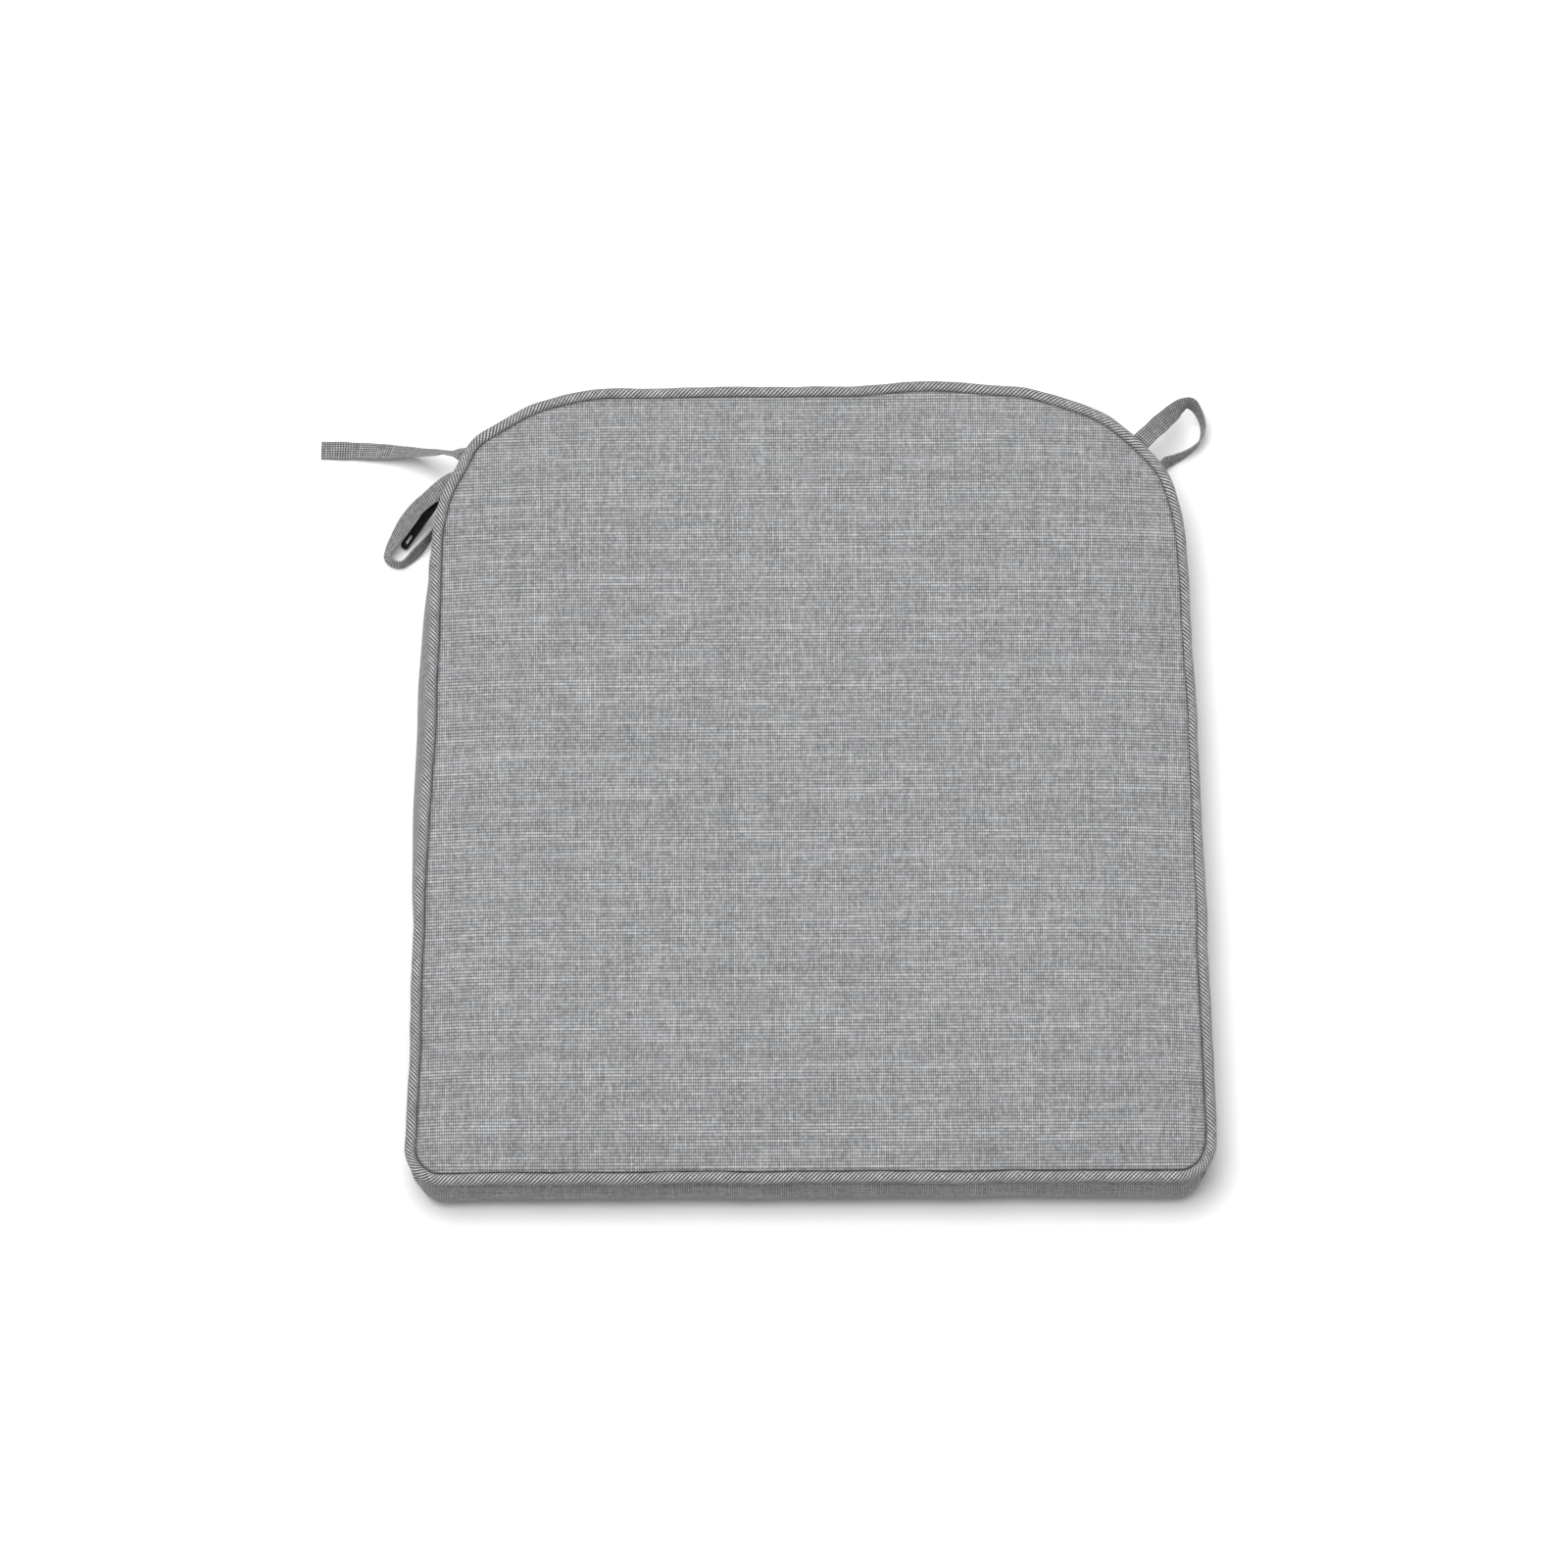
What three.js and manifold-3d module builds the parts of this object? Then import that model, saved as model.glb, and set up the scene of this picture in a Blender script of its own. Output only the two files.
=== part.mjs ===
// A boxed chair seat pad: piped top and bottom edges, a rear zip round both rear corners,
// and a pair of ties at each rear corner. Millimetres, +Z up, front towards -Y, +X to the right.
// The origin is at the bottom centre of the pad, on the surface that it rests on.
import * as THREE from 'three';
import { LoftGeometry } from 'three/addons/geometries/LoftGeometry.js';
import { mergeVertices } from 'three/addons/utils/BufferGeometryUtils.js';
import Module from 'manifold-3d';

const wasm = await Module();
wasm.setup();

// ---------------------------------------------------------------- driving dimensions

const DEPTH = 462;              // front edge to rear edge, over the piping
const FRONT_HALF_WIDTH = 226.5; // over the piping, where the front corners end
const REAR_RADIUS = 100;        // rear corners, over the piping
const REAR_CENTRE_X = 115.5;    // centre of each rear corner arc
const FRONT_RADIUS = 22;        // front corners, over the piping
const FRONT_TAPER = 1.6;        // degrees that a side leans in at the front corner
const REAR_TAPER = 2.6;         // and at the rear corner: the sides bow out a little

const SHEET = 0.8;              // thickness of the cover cloth
const GAP = 0.3;                // clearance between neighbouring pieces
const CROWN_TOP = 51.6;         // highest point of the top panel
const PIPING_LOW = 4;           // height of the bottom piping's centre
const PIPING_HIGH = 46;         // height of the top piping's centre
const PIPING_RADIUS = 3.05;
const PIPING_CLOTH = 0.6;
const FILLER_RADIUS = 2;        // the cord inside the piping
const SEAM_DEPTH = 13.5;        // how far the seam allowances reach in from the edge
const BOXING_FACE = -3.7;       // outer face of the boxing, from the outer edge of the piping

const ZIP_HEIGHT = 25;          // middle of the zip
const ZIP_START = 12;           // degrees round each rear corner where the zip begins
const ZIP_SLOT = 7;             // width of the opening between the two plackets
const SLIDER_ANGLE = 23;        // degrees round the left rear corner where the slider rests
const SLIDER_LENGTH = 9;
const SLIDER_WIDTH = 7.2;
const PLATE = 0.9;              // thickness of the slider's plates
const LINK_REACH = 3;           // the ring's far wire, out from the piping's outer edge
const WIRE = 0.9;
const PULL_LENGTH = 37.5;       // from the ring to the tip of the pull
const PULL_WIDTH = 5.2;
const PULL_THICKNESS = 1.3;
const PULL_SIDEWAYS = 70;       // degrees that the pull lies from straight out, towards the front
const PULL_DROOP = 37;          // degrees that it hangs below level

const TIE_WIDTH = 10.6;
const TIE_THICKNESS = 1.4;
const TIE_STEPS = 24;

const REAR_CENTRE_Y = DEPTH / 2 - REAR_RADIUS;

const CLOTH = { color: 0x8f9092, roughness: 0.9, metalness: 0 };
const FILLING = { color: 0xf2f0ea, roughness: 1, metalness: 0 };
const ZIP_CLOTH = { color: 0x2c2d2f, roughness: 0.85, metalness: 0 };
const BLACK_METAL = { color: 0x141416, roughness: 0.3, metalness: 0.4 };

// ---------------------------------------------------------------- outline

const radians = THREE.MathUtils.degToRad;

// A corner arc, as stations that each hold a place on the edge and the outward normal there.
function arcStations(cx, cy, radius, from, to, steps) {
  const stations = [];
  for (let i = 0; i <= steps; i++) {
    const angle = radians(from + ((to - from) * i) / steps);
    const nx = Math.cos(angle);
    const ny = Math.sin(angle);
    stations.push({ x: cx + radius * nx, y: cy + radius * ny, nx, ny });
  }
  return stations;
}

// The stations strictly between two others, on the gentle curve that meets both squarely.
function bowedStations(a, b, steps) {
  const tangentA = new THREE.Vector2(-a.ny, a.nx);
  const tangentB = new THREE.Vector2(-b.ny, b.nx);
  const reach = Math.hypot(b.x - a.x, b.y - a.y) / 3;
  const curve = new THREE.CubicBezierCurve(
    new THREE.Vector2(a.x, a.y),
    new THREE.Vector2(a.x, a.y).addScaledVector(tangentA, reach),
    new THREE.Vector2(b.x, b.y).addScaledVector(tangentB, -reach),
    new THREE.Vector2(b.x, b.y)
  );
  const stations = [];
  for (let i = 1; i < steps; i++) {
    const place = curve.getPoint(i / steps);
    const tangent = curve.getTangent(i / steps);
    stations.push({ x: place.x, y: place.y, nx: tangent.y, ny: -tangent.x });
  }
  return stations;
}

// Counter-clockwise from above. The rear corners are split where the zip begins.
const frontCentreX = FRONT_HALF_WIDTH - FRONT_RADIUS;
const frontCentreY = -DEPTH / 2 + FRONT_RADIUS;

const rearRight = (from, to, steps) =>
  arcStations(REAR_CENTRE_X, REAR_CENTRE_Y, REAR_RADIUS, from, to, steps);
const rearLeft = (from, to, steps) =>
  arcStations(-REAR_CENTRE_X, REAR_CENTRE_Y, REAR_RADIUS, from, to, steps);

// The rear edge, from one angle on the right corner round to its mirror on the left corner.
function rearStations(angle) {
  const right = rearRight(angle, 90, 9);
  const left = rearLeft(90, 180 - angle, 9);
  return [...right, ...bowedStations(right.at(-1), left[0], 4), ...left];
}

// The sides and the front, from one angle on the left rear corner round to its mirror.
function frontStations(angle) {
  const leftRear = rearLeft(180 - angle, 180 - REAR_TAPER, 2);
  const leftFront = arcStations(-frontCentreX, frontCentreY, FRONT_RADIUS, 180 - FRONT_TAPER, 270, 6);
  const rightFront = arcStations(frontCentreX, frontCentreY, FRONT_RADIUS, 270, 360 + FRONT_TAPER, 6);
  const rightRear = rearRight(REAR_TAPER, angle, 2);
  return [
    ...leftRear,
    ...bowedStations(leftRear.at(-1), leftFront[0], 4),
    ...leftFront,
    ...bowedStations(leftFront.at(-1), rightFront[0], 3),
    ...rightFront,
    ...bowedStations(rightFront.at(-1), rightRear[0], 4),
    ...rightRear,
  ];
}

const wholeOutline = [...rearStations(ZIP_START), ...frontStations(ZIP_START).slice(1, -1)];

// ---------------------------------------------------------------- geometry helpers

// A plain copy with shared vertices, without the triangles that closed up at a point.
function merged(geometry) {
  const bare = new THREE.BufferGeometry();
  bare.setAttribute('position', geometry.getAttribute('position'));
  bare.setIndex(geometry.index);
  const clean = mergeVertices(bare, 1e-4);
  const corners = clean.index.array;
  const kept = [];
  for (let i = 0; i < corners.length; i += 3) {
    const [a, b, c] = corners.slice(i, i + 3);
    if (a !== b && b !== c && c !== a) kept.push(a, b, c);
  }
  clean.setIndex(kept);
  clean.computeVertexNormals();
  return clean;
}

// A section of [out, up] points, counter-clockwise with out to the right, at one station.
function sectionAt(station, section) {
  const points = section.map(
    ([out, up]) => new THREE.Vector3(station.x + station.nx * out, station.y + station.ny * out, up)
  );
  return points.reverse();
}

// A section swept right round a closed run of stations: a closed loop with no ends.
function sweepLoop(stations, section) {
  const sections = [...stations, stations[0]].map((station) => sectionAt(station, section));
  return merged(new LoftGeometry(sections));
}

// A section swept along an open run of stations, with flat ends.
function sweepRun(stations, section) {
  const sections = stations.map((station) => sectionAt(station, section));
  return merged(new LoftGeometry(sections, { capStart: true, capEnd: true }));
}

// Layered rings of the whole outline, each [out, shrink, up]. A shrink of 0 closes the layers
// at a point in the middle, which is how they start and end.
function layers(rings) {
  const first = [0, 0, rings[0][2]];
  const last = [0, 0, rings.at(-1)[2]];
  const sections = [first, ...rings, last].map(([out, shrink, up]) =>
    wholeOutline.map(
      ({ x, y, nx, ny }) => new THREE.Vector3((x + nx * out) * shrink, (y + ny * out) * shrink, up)
    )
  );
  return merged(new LoftGeometry(sections));
}

function circle(out, up, radius, sides) {
  const points = [];
  for (let i = 0; i < sides; i++) {
    const angle = (2 * Math.PI * i) / sides;
    points.push([out + radius * Math.cos(angle), up + radius * Math.sin(angle)]);
  }
  return points;
}

const rectangle = (out0, out1, up0, up1) => [[out1, up0], [out1, up1], [out0, up1], [out0, up0]];

function solid(geometry) {
  const clean = merged(geometry);
  const mesh = new wasm.Mesh({
    numProp: 3,
    vertProperties: clean.attributes.position.array,
    triVerts: new Uint32Array(clean.index.array),
  });
  return new wasm.Manifold(mesh);
}

function geometryOf(manifold) {
  const mesh = manifold.getMesh();
  const geometry = new THREE.BufferGeometry();
  geometry.setAttribute('position', new THREE.BufferAttribute(mesh.vertProperties, 3));
  geometry.setIndex(new THREE.BufferAttribute(mesh.triVerts, 1));
  geometry.computeVertexNormals();
  return geometry;
}

const pad = new THREE.Group();

function piece(name, geometry, look, parent = pad) {
  const mesh = new THREE.Mesh(geometry, new THREE.MeshStandardMaterial(look));
  mesh.name = name;
  parent.add(mesh);
  return mesh;
}

// ---------------------------------------------------------------- cover panels

// The top panel is crowned. Its edge stops at the seam, just inside the piping.
function topPanel() {
  const upper = [
    [-6.3, 1, 47.7],
    [-8.5, 1, 48.9],
    [-13, 1, 49.9],
    [-13, 0.92, 50.8],
    [-13, 0.72, 51.4],
    [-13, 0.4, CROWN_TOP],
  ];
  const lower = upper.map(([out, shrink, up]) => [out, shrink, up - SHEET]);
  lower[0][2] = upper[0][2] - 0.6;
  return layers([...lower.reverse(), ...upper]);
}

// The bottom panel lies flat. Its margin rises to the seam at the bottom piping.
function bottomPanel() {
  return layers([
    [-17, 1, 0],
    [-9, 1, 1.5],
    [-6.3, 1, 2.3],
    [-6.3, 1, 2.9],
    [-9, 1, 2.3],
    [-17, 1, SHEET],
  ]);
}

// ---------------------------------------------------------------- boxing and plackets

// The outer face of a boxing sheet from mid height up to its seam: it hugs the piping
// and then turns in as a seam allowance. Each is [out, up above the piping's centre].
const boxingOuter = [[BOXING_FACE, -3.4], [-5.4, -2.4], [-6.6, -1.1], [-SEAM_DEPTH, -1.1]];
const boxingInner = [[BOXING_FACE - 0.7, -3.7], [-6, -2.9], [-7, -1.8], [-SEAM_DEPTH, -1.8]];

// One half of the boxing's section, from a free edge up (side 1) or down (side -1) to its seam.
function boxingHalf(edge, side) {
  const seam = side > 0 ? PIPING_HIGH : PIPING_LOW;
  const toHeight = ([out, up]) => [out, seam + side * up];
  const half = [
    [BOXING_FACE, edge],
    ...boxingOuter.map(toHeight),
    ...boxingInner.map(toHeight).reverse(),
    [BOXING_FACE - 0.7, edge],
  ];
  return side > 0 ? half : half.reverse();
}

function boxingWhole() {
  const up = boxingHalf(ZIP_HEIGHT, 1).slice(1, -1);
  const down = boxingHalf(ZIP_HEIGHT, -1).slice(1, -1);
  return [...up, ...down];
}

const zipEndGap = 0.35; // degrees, half the gap between the boxing and the plackets

function boxingPieces() {
  piece('boxing_strip', sweepRun(frontStations(ZIP_START - zipEndGap), boxingWhole()), CLOTH);
  const rear = rearStations(ZIP_START + zipEndGap);
  for (const [name, side] of [['upper', 1], ['lower', -1]]) {
    const edge = ZIP_HEIGHT + (side * ZIP_SLOT) / 2;
    piece('zip_placket_' + name, sweepRun(rear, boxingHalf(edge, side)), CLOTH);
  }
}

// ---------------------------------------------------------------- piping

// The cloth round the filler cord: a C that opens inwards, with two flat seam allowances.
function pipingCover(height) {
  const inner = PIPING_RADIUS - PIPING_CLOTH;
  const outerLip = Math.asin((0.2 + PIPING_CLOTH) / PIPING_RADIUS);
  const innerLip = Math.asin(0.2 / inner);
  const centre = -PIPING_RADIUS;
  const arcPoints = (radius, lip, steps) => {
    const points = [];
    for (let i = 0; i <= steps; i++) {
      const angle = -Math.PI + lip + (2 * (Math.PI - lip) * i) / steps;
      points.push([centre + radius * Math.cos(angle), height + radius * Math.sin(angle)]);
    }
    return points;
  };
  return [
    [-SEAM_DEPTH, height - 0.2 - PIPING_CLOTH],
    ...arcPoints(PIPING_RADIUS, outerLip, 8),
    [-SEAM_DEPTH, height + 0.2 + PIPING_CLOTH],
    [-SEAM_DEPTH, height + 0.2],
    ...arcPoints(inner, innerLip, 6).reverse(),
    [-SEAM_DEPTH, height - 0.2],
  ];
}

function pipingPieces() {
  for (const [name, height] of [['top', PIPING_HIGH], ['bottom', PIPING_LOW]]) {
    piece(name + '_piping_cover', sweepLoop(wholeOutline, pipingCover(height)), CLOTH);
    const filler = circle(-PIPING_RADIUS, height, FILLER_RADIUS, 8);
    piece(name + '_piping_cord', sweepLoop(wholeOutline, filler), FILLING);
  }
}

// ---------------------------------------------------------------- filling

function fillingPieces() {
  const wrapOut = -7.9;
  const foamOut = wrapOut - 5;
  const foamLow = 6.2;
  const foamHigh = 43.6;
  const inside = -SEAM_DEPTH - 1;
  piece('foam_core', layers([[foamOut, 1, foamLow], [foamOut, 1, foamHigh]]), FILLING);
  const edge = rectangle(foamOut + GAP, wrapOut, 8, 42);
  piece('fibre_wrap_edge', sweepLoop(wholeOutline, edge), FILLING);
  const top = [
    [inside, 1, foamHigh + GAP],
    [inside, 1, 48.6],
    [inside, 0.92, 49.5],
    [inside, 0.72, 50.2],
    [inside, 0.4, CROWN_TOP - SHEET - GAP],
  ];
  piece('fibre_wrap_top', layers(top), FILLING);
  const bottomOut = inside - 3;
  const bottom = [[bottomOut, 1, SHEET + GAP], [bottomOut, 1, foamLow - GAP]];
  piece('fibre_wrap_bottom', layers(bottom), FILLING);
}

// ---------------------------------------------------------------- zip

const COIL_START = ZIP_START + 3;
const coilOut = [-5.9, -4.4];
const coilHalf = 0.5;   // half the gap that the slider's fin runs in
const coilHeight = 1.5;
const tapeOut = [-5.4, -4.8];
const tapeReach = 15;   // from the middle of the zip to the far edge of each tape
const stopHalf = 1.9;

function zipPieces() {
  for (const [name, side] of [['upper', 1], ['lower', -1]]) {
    const coil = [ZIP_HEIGHT + side * coilHalf, ZIP_HEIGHT + side * (coilHalf + coilHeight)];
    const tape = [coil[1] + side * GAP, ZIP_HEIGHT + side * tapeReach];
    coil.sort((a, b) => a - b);
    tape.sort((a, b) => a - b);
    const coilRun = sweepRun(rearStations(COIL_START), rectangle(...coilOut, ...coil));
    const tapeRun = sweepRun(rearStations(ZIP_START + 1), rectangle(...tapeOut, ...tape));
    piece('zip_coil_' + name, coilRun, ZIP_CLOTH);
    piece('zip_tape_' + name, tapeRun, ZIP_CLOTH);
  }
  const stop = rectangle(...coilOut, ZIP_HEIGHT - stopHalf, ZIP_HEIGHT + stopHalf);
  const right = rearRight(COIL_START - 1.6, COIL_START - 0.3, 1);
  const left = rearLeft(180 - COIL_START + 0.3, 180 - COIL_START + 1.6, 1);
  piece('zip_stop_right', sweepRun(right, stop), BLACK_METAL);
  piece('zip_stop_left', sweepRun(left, stop), BLACK_METAL);
}

// The slider's own frame: +X straight out of the pad, +Y along the zip, +Z up, and x = 0 on
// the outer edge of the piping.
const carriage = new THREE.Group();
carriage.position.set(-REAR_CENTRE_X, REAR_CENTRE_Y, ZIP_HEIGHT);
carriage.rotation.z = radians(180 - SLIDER_ANGLE);
pad.add(carriage);

// A flat plate, shield-shaped as seen from outside, between two depths.
function sliderPlate(from, to) {
  const long = SLIDER_LENGTH / 2;
  const wide = SLIDER_WIDTH / 2;
  const shape = new THREE.Shape();
  shape.moveTo(-long, -wide * 0.72);
  shape.quadraticCurveTo(-long * 0.2, -wide * 0.85, long * 0.35, -wide);
  shape.quadraticCurveTo(long, -wide, long, -wide * 0.45);
  shape.lineTo(long, wide * 0.45);
  shape.quadraticCurveTo(long, wide, long * 0.35, wide);
  shape.quadraticCurveTo(-long * 0.2, wide * 0.85, -long, wide * 0.72);
  shape.closePath();
  const plate = new THREE.ExtrudeGeometry(shape, {
    depth: to - from,
    bevelEnabled: false,
    curveSegments: 4,
  });
  plate.rotateX(Math.PI / 2);
  plate.rotateZ(Math.PI / 2);
  plate.translate(from, 0, 0);
  return plate;
}

function block(x0, x1, y0, y1, z0, z1) {
  const box = new THREE.BoxGeometry(x1 - x0, y1 - y0, z1 - z0);
  return box.translate((x0 + x1) / 2, (y0 + y1) / 2, (z0 + z1) / 2);
}

// Two plates either side of the coils, the fin between them, and the arch that holds the ring.
function sliderGeometry() {
  const face = BOXING_FACE + GAP;
  const back = coilOut[0] - 0.5;
  const arch = 3.4;
  const bar = [-1, 0];
  const archHalfWidth = 0.8;
  const fin = block(back - 0.2, face + 0.2, -2, 2, -0.2, 0.2);
  const parts = [
    sliderPlate(face, face + PLATE),
    sliderPlate(back - PLATE, back),
    fin,
    block(face + PLATE - 0.2, bar[1], -arch, -arch + 1, -archHalfWidth, archHalfWidth),
    block(face + PLATE - 0.2, bar[1], arch - 1, arch, -archHalfWidth, archHalfWidth),
    block(bar[0], bar[1], -arch, arch, -archHalfWidth, archHalfWidth),
  ];
  return geometryOf(parts.map(solid).reduce((sum, part) => sum.add(part)));
}

// A rounded rectangle of wire in the X-Z plane, through the arch and out to the pull.
function linkGeometry() {
  const near = -1.75;
  const far = LINK_REACH;
  const halfHeight = 3;
  const corner = 1.2;
  const centres = [
    [far - corner, halfHeight - corner, 0],
    [near + corner, halfHeight - corner, 90],
    [near + corner, -halfHeight + corner, 180],
    [far - corner, -halfHeight + corner, 270],
  ];
  const stations = centres.flatMap(([cx, cy, from]) => arcStations(cx, cy, corner, from, from + 90, 4));
  const ring = sweepLoop(stations, circle(0, 0, WIRE / 2, 8));
  return ring.rotateX(Math.PI / 2);
}

// A flat tab along +X from the ring's wire, with an eye at one end and a slot near the other.
function pullGeometry() {
  const bevel = 0.25;
  const rootHalf = 2.1 - bevel;
  const tipHalf = PULL_WIDTH / 2 - bevel;
  const shape = new THREE.Shape();
  shape.absarc(0, 0, rootHalf, radians(90), radians(270), false);
  shape.lineTo(7, -tipHalf);
  shape.absarc(PULL_LENGTH - tipHalf, 0, tipHalf, radians(-90), radians(90), false);
  shape.lineTo(7, tipHalf);
  shape.closePath();
  const eye = new THREE.Path();
  eye.absarc(0, 0, 1.3 + bevel, 0, 2 * Math.PI, true);
  const slotHalf = 0.8 + bevel;
  const slot = new THREE.Path();
  slot.absarc(PULL_LENGTH - 9, 0, slotHalf, radians(90), radians(270), false);
  slot.absarc(PULL_LENGTH - 4, 0, slotHalf, radians(-90), radians(90), false);
  slot.closePath();
  shape.holes.push(eye, slot);
  const tab = new THREE.ExtrudeGeometry(shape, {
    depth: PULL_THICKNESS - 2 * bevel,
    bevelThickness: bevel,
    bevelSize: bevel,
    bevelSegments: 1,
    curveSegments: 12,
  });
  return tab.translate(0, 0, -PULL_THICKNESS / 2 + bevel);
}

function sliderPieces() {
  const atEdge = new THREE.Group();
  atEdge.position.x = REAR_RADIUS;
  carriage.add(atEdge);
  piece('zip_slider', sliderGeometry(), BLACK_METAL, atEdge);
  piece('zip_pull_ring', linkGeometry(), BLACK_METAL, atEdge);
  const pull = piece('zip_pull', pullGeometry(), BLACK_METAL, atEdge);
  pull.position.x = LINK_REACH;
  pull.rotation.order = 'ZYX';
  pull.rotation.z = radians(PULL_SIDEWAYS);
  pull.rotation.y = radians(PULL_DROOP);
}

// ---------------------------------------------------------------- ties

// Each route is a list of [x, y, z, turn]: turn is 0 where the strip lies flat and 90 where
// it stands on its edge. Each starts at the top seam, just under the piping. The bends are kept
// wide enough that no strip folds into itself.
const tieRoutes = {
  tie_left_straight: [
    [-192.4, 192.1, 40.8, 0], [-194.8, 194, 40.4, 18], [-198.2, 195.6, 38.2, 44],
    [-203.4, 196.5, 34.6, 66], [-208, 197.6, 30.2, 56], [-214, 199.4, 24.6, 48],
    [-222.8, 202.1, 16.2, 45], [-231.6, 204.2, 9.8, 33], [-240.5, 205.7, 5.6, 22],
    [-252, 206.9, 3.2, 15], [-265, 207.7, 1.7, 7], [-278, 208.1, 1, 0],
  ],
  tie_left_loop: [
    [-196.2, 185.4, 36.6, 80], [-201.4, 182.2, 36.4, 56], [-206.8, 177.6, 34.8, 36],
    [-213.4, 171.9, 31.4, 26], [-222.1, 165.3, 27, 26], [-228.7, 158.8, 20.5, 26],
    [-234.1, 152.5, 14, 36], [-238.3, 146.9, 9.2, 60], [-239.3, 142.6, 7.2, 70],
    [-236.4, 139.2, 6.4, 82], [-231.6, 138.3, 6.2, 88], [-227.3, 141, 6.3, 82],
    [-223.2, 144.9, 7, 74], [-218.7, 149.6, 8.8, 76], [-213.8, 155.6, 11.8, 86],
    [-209.3, 161, 13.4, 90],
  ],
  tie_right_loop: [
    [188.4, 196.2, 41, 0], [191.4, 199.4, 41, 2], [197.4, 205.9, 38.2, 12], [203.2, 212.2, 34, 20],
    [210, 219.6, 28.4, 36], [215.4, 224.9, 23.8, 60], [220.6, 226.8, 19.4, 72],
    [224.6, 224.2, 15.4, 78], [227.2, 219.4, 12, 79], [227.8, 214, 9.2, 82], [226, 208.7, 7.4, 85],
    [222, 204.4, 6.5, 89], [216.9, 201, 6.4, 94], [211.2, 198, 7.2, 102], [205.8, 194.8, 9.2, 112],
    [201.8, 189, 12, 100], [200.6, 181.4, 13.4, 90],
  ],
};

// The fourth tie hangs behind the pad, against the boxing: [degrees round the corner, height].
const hangingTie = [[50, 37.4], [53.5, 31], [59, 24.2], [66.5, 18.6], [75, 15.2], [84, 13.8]];
const hangingOut = -2.5;
const hangingTail = [103, 91];

function hangingRoute() {
  const radius = REAR_RADIUS + hangingOut;
  const bend = hangingTie.map(([degrees, height]) => [
    REAR_CENTRE_X + radius * Math.cos(radians(degrees)),
    REAR_CENTRE_Y + radius * Math.sin(radians(degrees)),
    height,
    90,
  ]);
  const tail = hangingTail.map((x) => [x, REAR_CENTRE_Y + radius, 13.4, 90]);
  return [...bend, ...tail];
}

// A flat strip along a route, its width turned from level towards upright as the route says.
function tieGeometry(route) {
  const curve = new THREE.CatmullRomCurve3(
    route.map(([x, y, z]) => new THREE.Vector3(x, y, z)), false, 'centripetal'
  );
  const lastPoint = route.length - 1;
  const turnAt = (t) => {
    const low = Math.min(Math.floor(t * lastPoint), lastPoint - 1);
    return radians(THREE.MathUtils.lerp(route[low][3], route[low + 1][3], t * lastPoint - low));
  };
  const sections = [];
  for (let i = 0; i <= TIE_STEPS; i++) {
    const t = i / TIE_STEPS;
    const place = curve.getPoint(t);
    const along = curve.getTangent(t);
    const level = new THREE.Vector3(-along.y, along.x, 0).normalize();
    const upright = new THREE.Vector3().crossVectors(along, level);
    const across = level.clone().multiplyScalar(Math.cos(turnAt(t)));
    across.addScaledVector(upright, Math.sin(turnAt(t)));
    const through = new THREE.Vector3().crossVectors(along, across);
    const corners = [[1, 1], [-1, 1], [-1, -1], [1, -1]];
    sections.push(
      corners.map(([a, b]) =>
        place.clone()
          .addScaledVector(across, (a * TIE_WIDTH) / 2)
          .addScaledVector(through, (b * TIE_THICKNESS) / 2)
      )
    );
  }
  return merged(new LoftGeometry(sections, { capStart: true, capEnd: true }));
}

function tiePieces() {
  for (const [name, route] of Object.entries(tieRoutes)) {
    piece(name, tieGeometry(route), CLOTH);
  }
  piece('tie_right_hanging', tieGeometry(hangingRoute()), CLOTH);
}

// ---------------------------------------------------------------- care label

// A blank folded label, sewn into the bottom seam behind the pad.
function labelPiece() {
  const label = block(-70, -38, DEPTH / 2 - 3.3, DEPTH / 2 - 2.9, 7.6, 20.4);
  piece('care_label', label, { color: 0xe8e8e6, roughness: 0.8, metalness: 0 });
}

// ---------------------------------------------------------------- assembly

piece('top_panel', topPanel(), CLOTH);
piece('bottom_panel', bottomPanel(), CLOTH);
boxingPieces();
pipingPieces();
fillingPieces();
zipPieces();
sliderPieces();
tiePieces();
labelPiece();

export default pad;
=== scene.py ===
import math

import bmesh
import bpy
import numpy as np
from mathutils import Matrix, Vector


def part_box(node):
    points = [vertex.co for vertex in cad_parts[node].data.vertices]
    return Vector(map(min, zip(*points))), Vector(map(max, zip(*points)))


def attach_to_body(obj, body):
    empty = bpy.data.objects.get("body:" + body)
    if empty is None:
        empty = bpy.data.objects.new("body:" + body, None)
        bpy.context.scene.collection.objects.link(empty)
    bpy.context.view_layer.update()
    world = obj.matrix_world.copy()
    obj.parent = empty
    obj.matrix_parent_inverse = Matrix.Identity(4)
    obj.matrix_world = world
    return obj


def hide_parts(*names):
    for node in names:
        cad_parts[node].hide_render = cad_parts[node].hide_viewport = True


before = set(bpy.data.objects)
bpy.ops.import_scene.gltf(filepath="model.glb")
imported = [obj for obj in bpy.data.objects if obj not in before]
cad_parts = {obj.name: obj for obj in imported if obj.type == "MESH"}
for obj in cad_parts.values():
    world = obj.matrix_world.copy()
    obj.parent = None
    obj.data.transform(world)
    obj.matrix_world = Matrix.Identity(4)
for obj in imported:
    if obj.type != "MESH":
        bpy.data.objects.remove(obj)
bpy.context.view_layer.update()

MM = 0.001

# ---- camera

CAMERA_ELEVATION = math.radians(76)
CAMERA_DISTANCE = 4.5
CAMERA_LENS = 183.0
CAMERA_SENSOR = 36
CAMERA_ROLL = math.radians(-0.33)
CAMERA_ASIDE = -0.0135
CAMERA_ALONG = 0.0018
CAMERA_HEIGHT = 0.03


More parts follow.
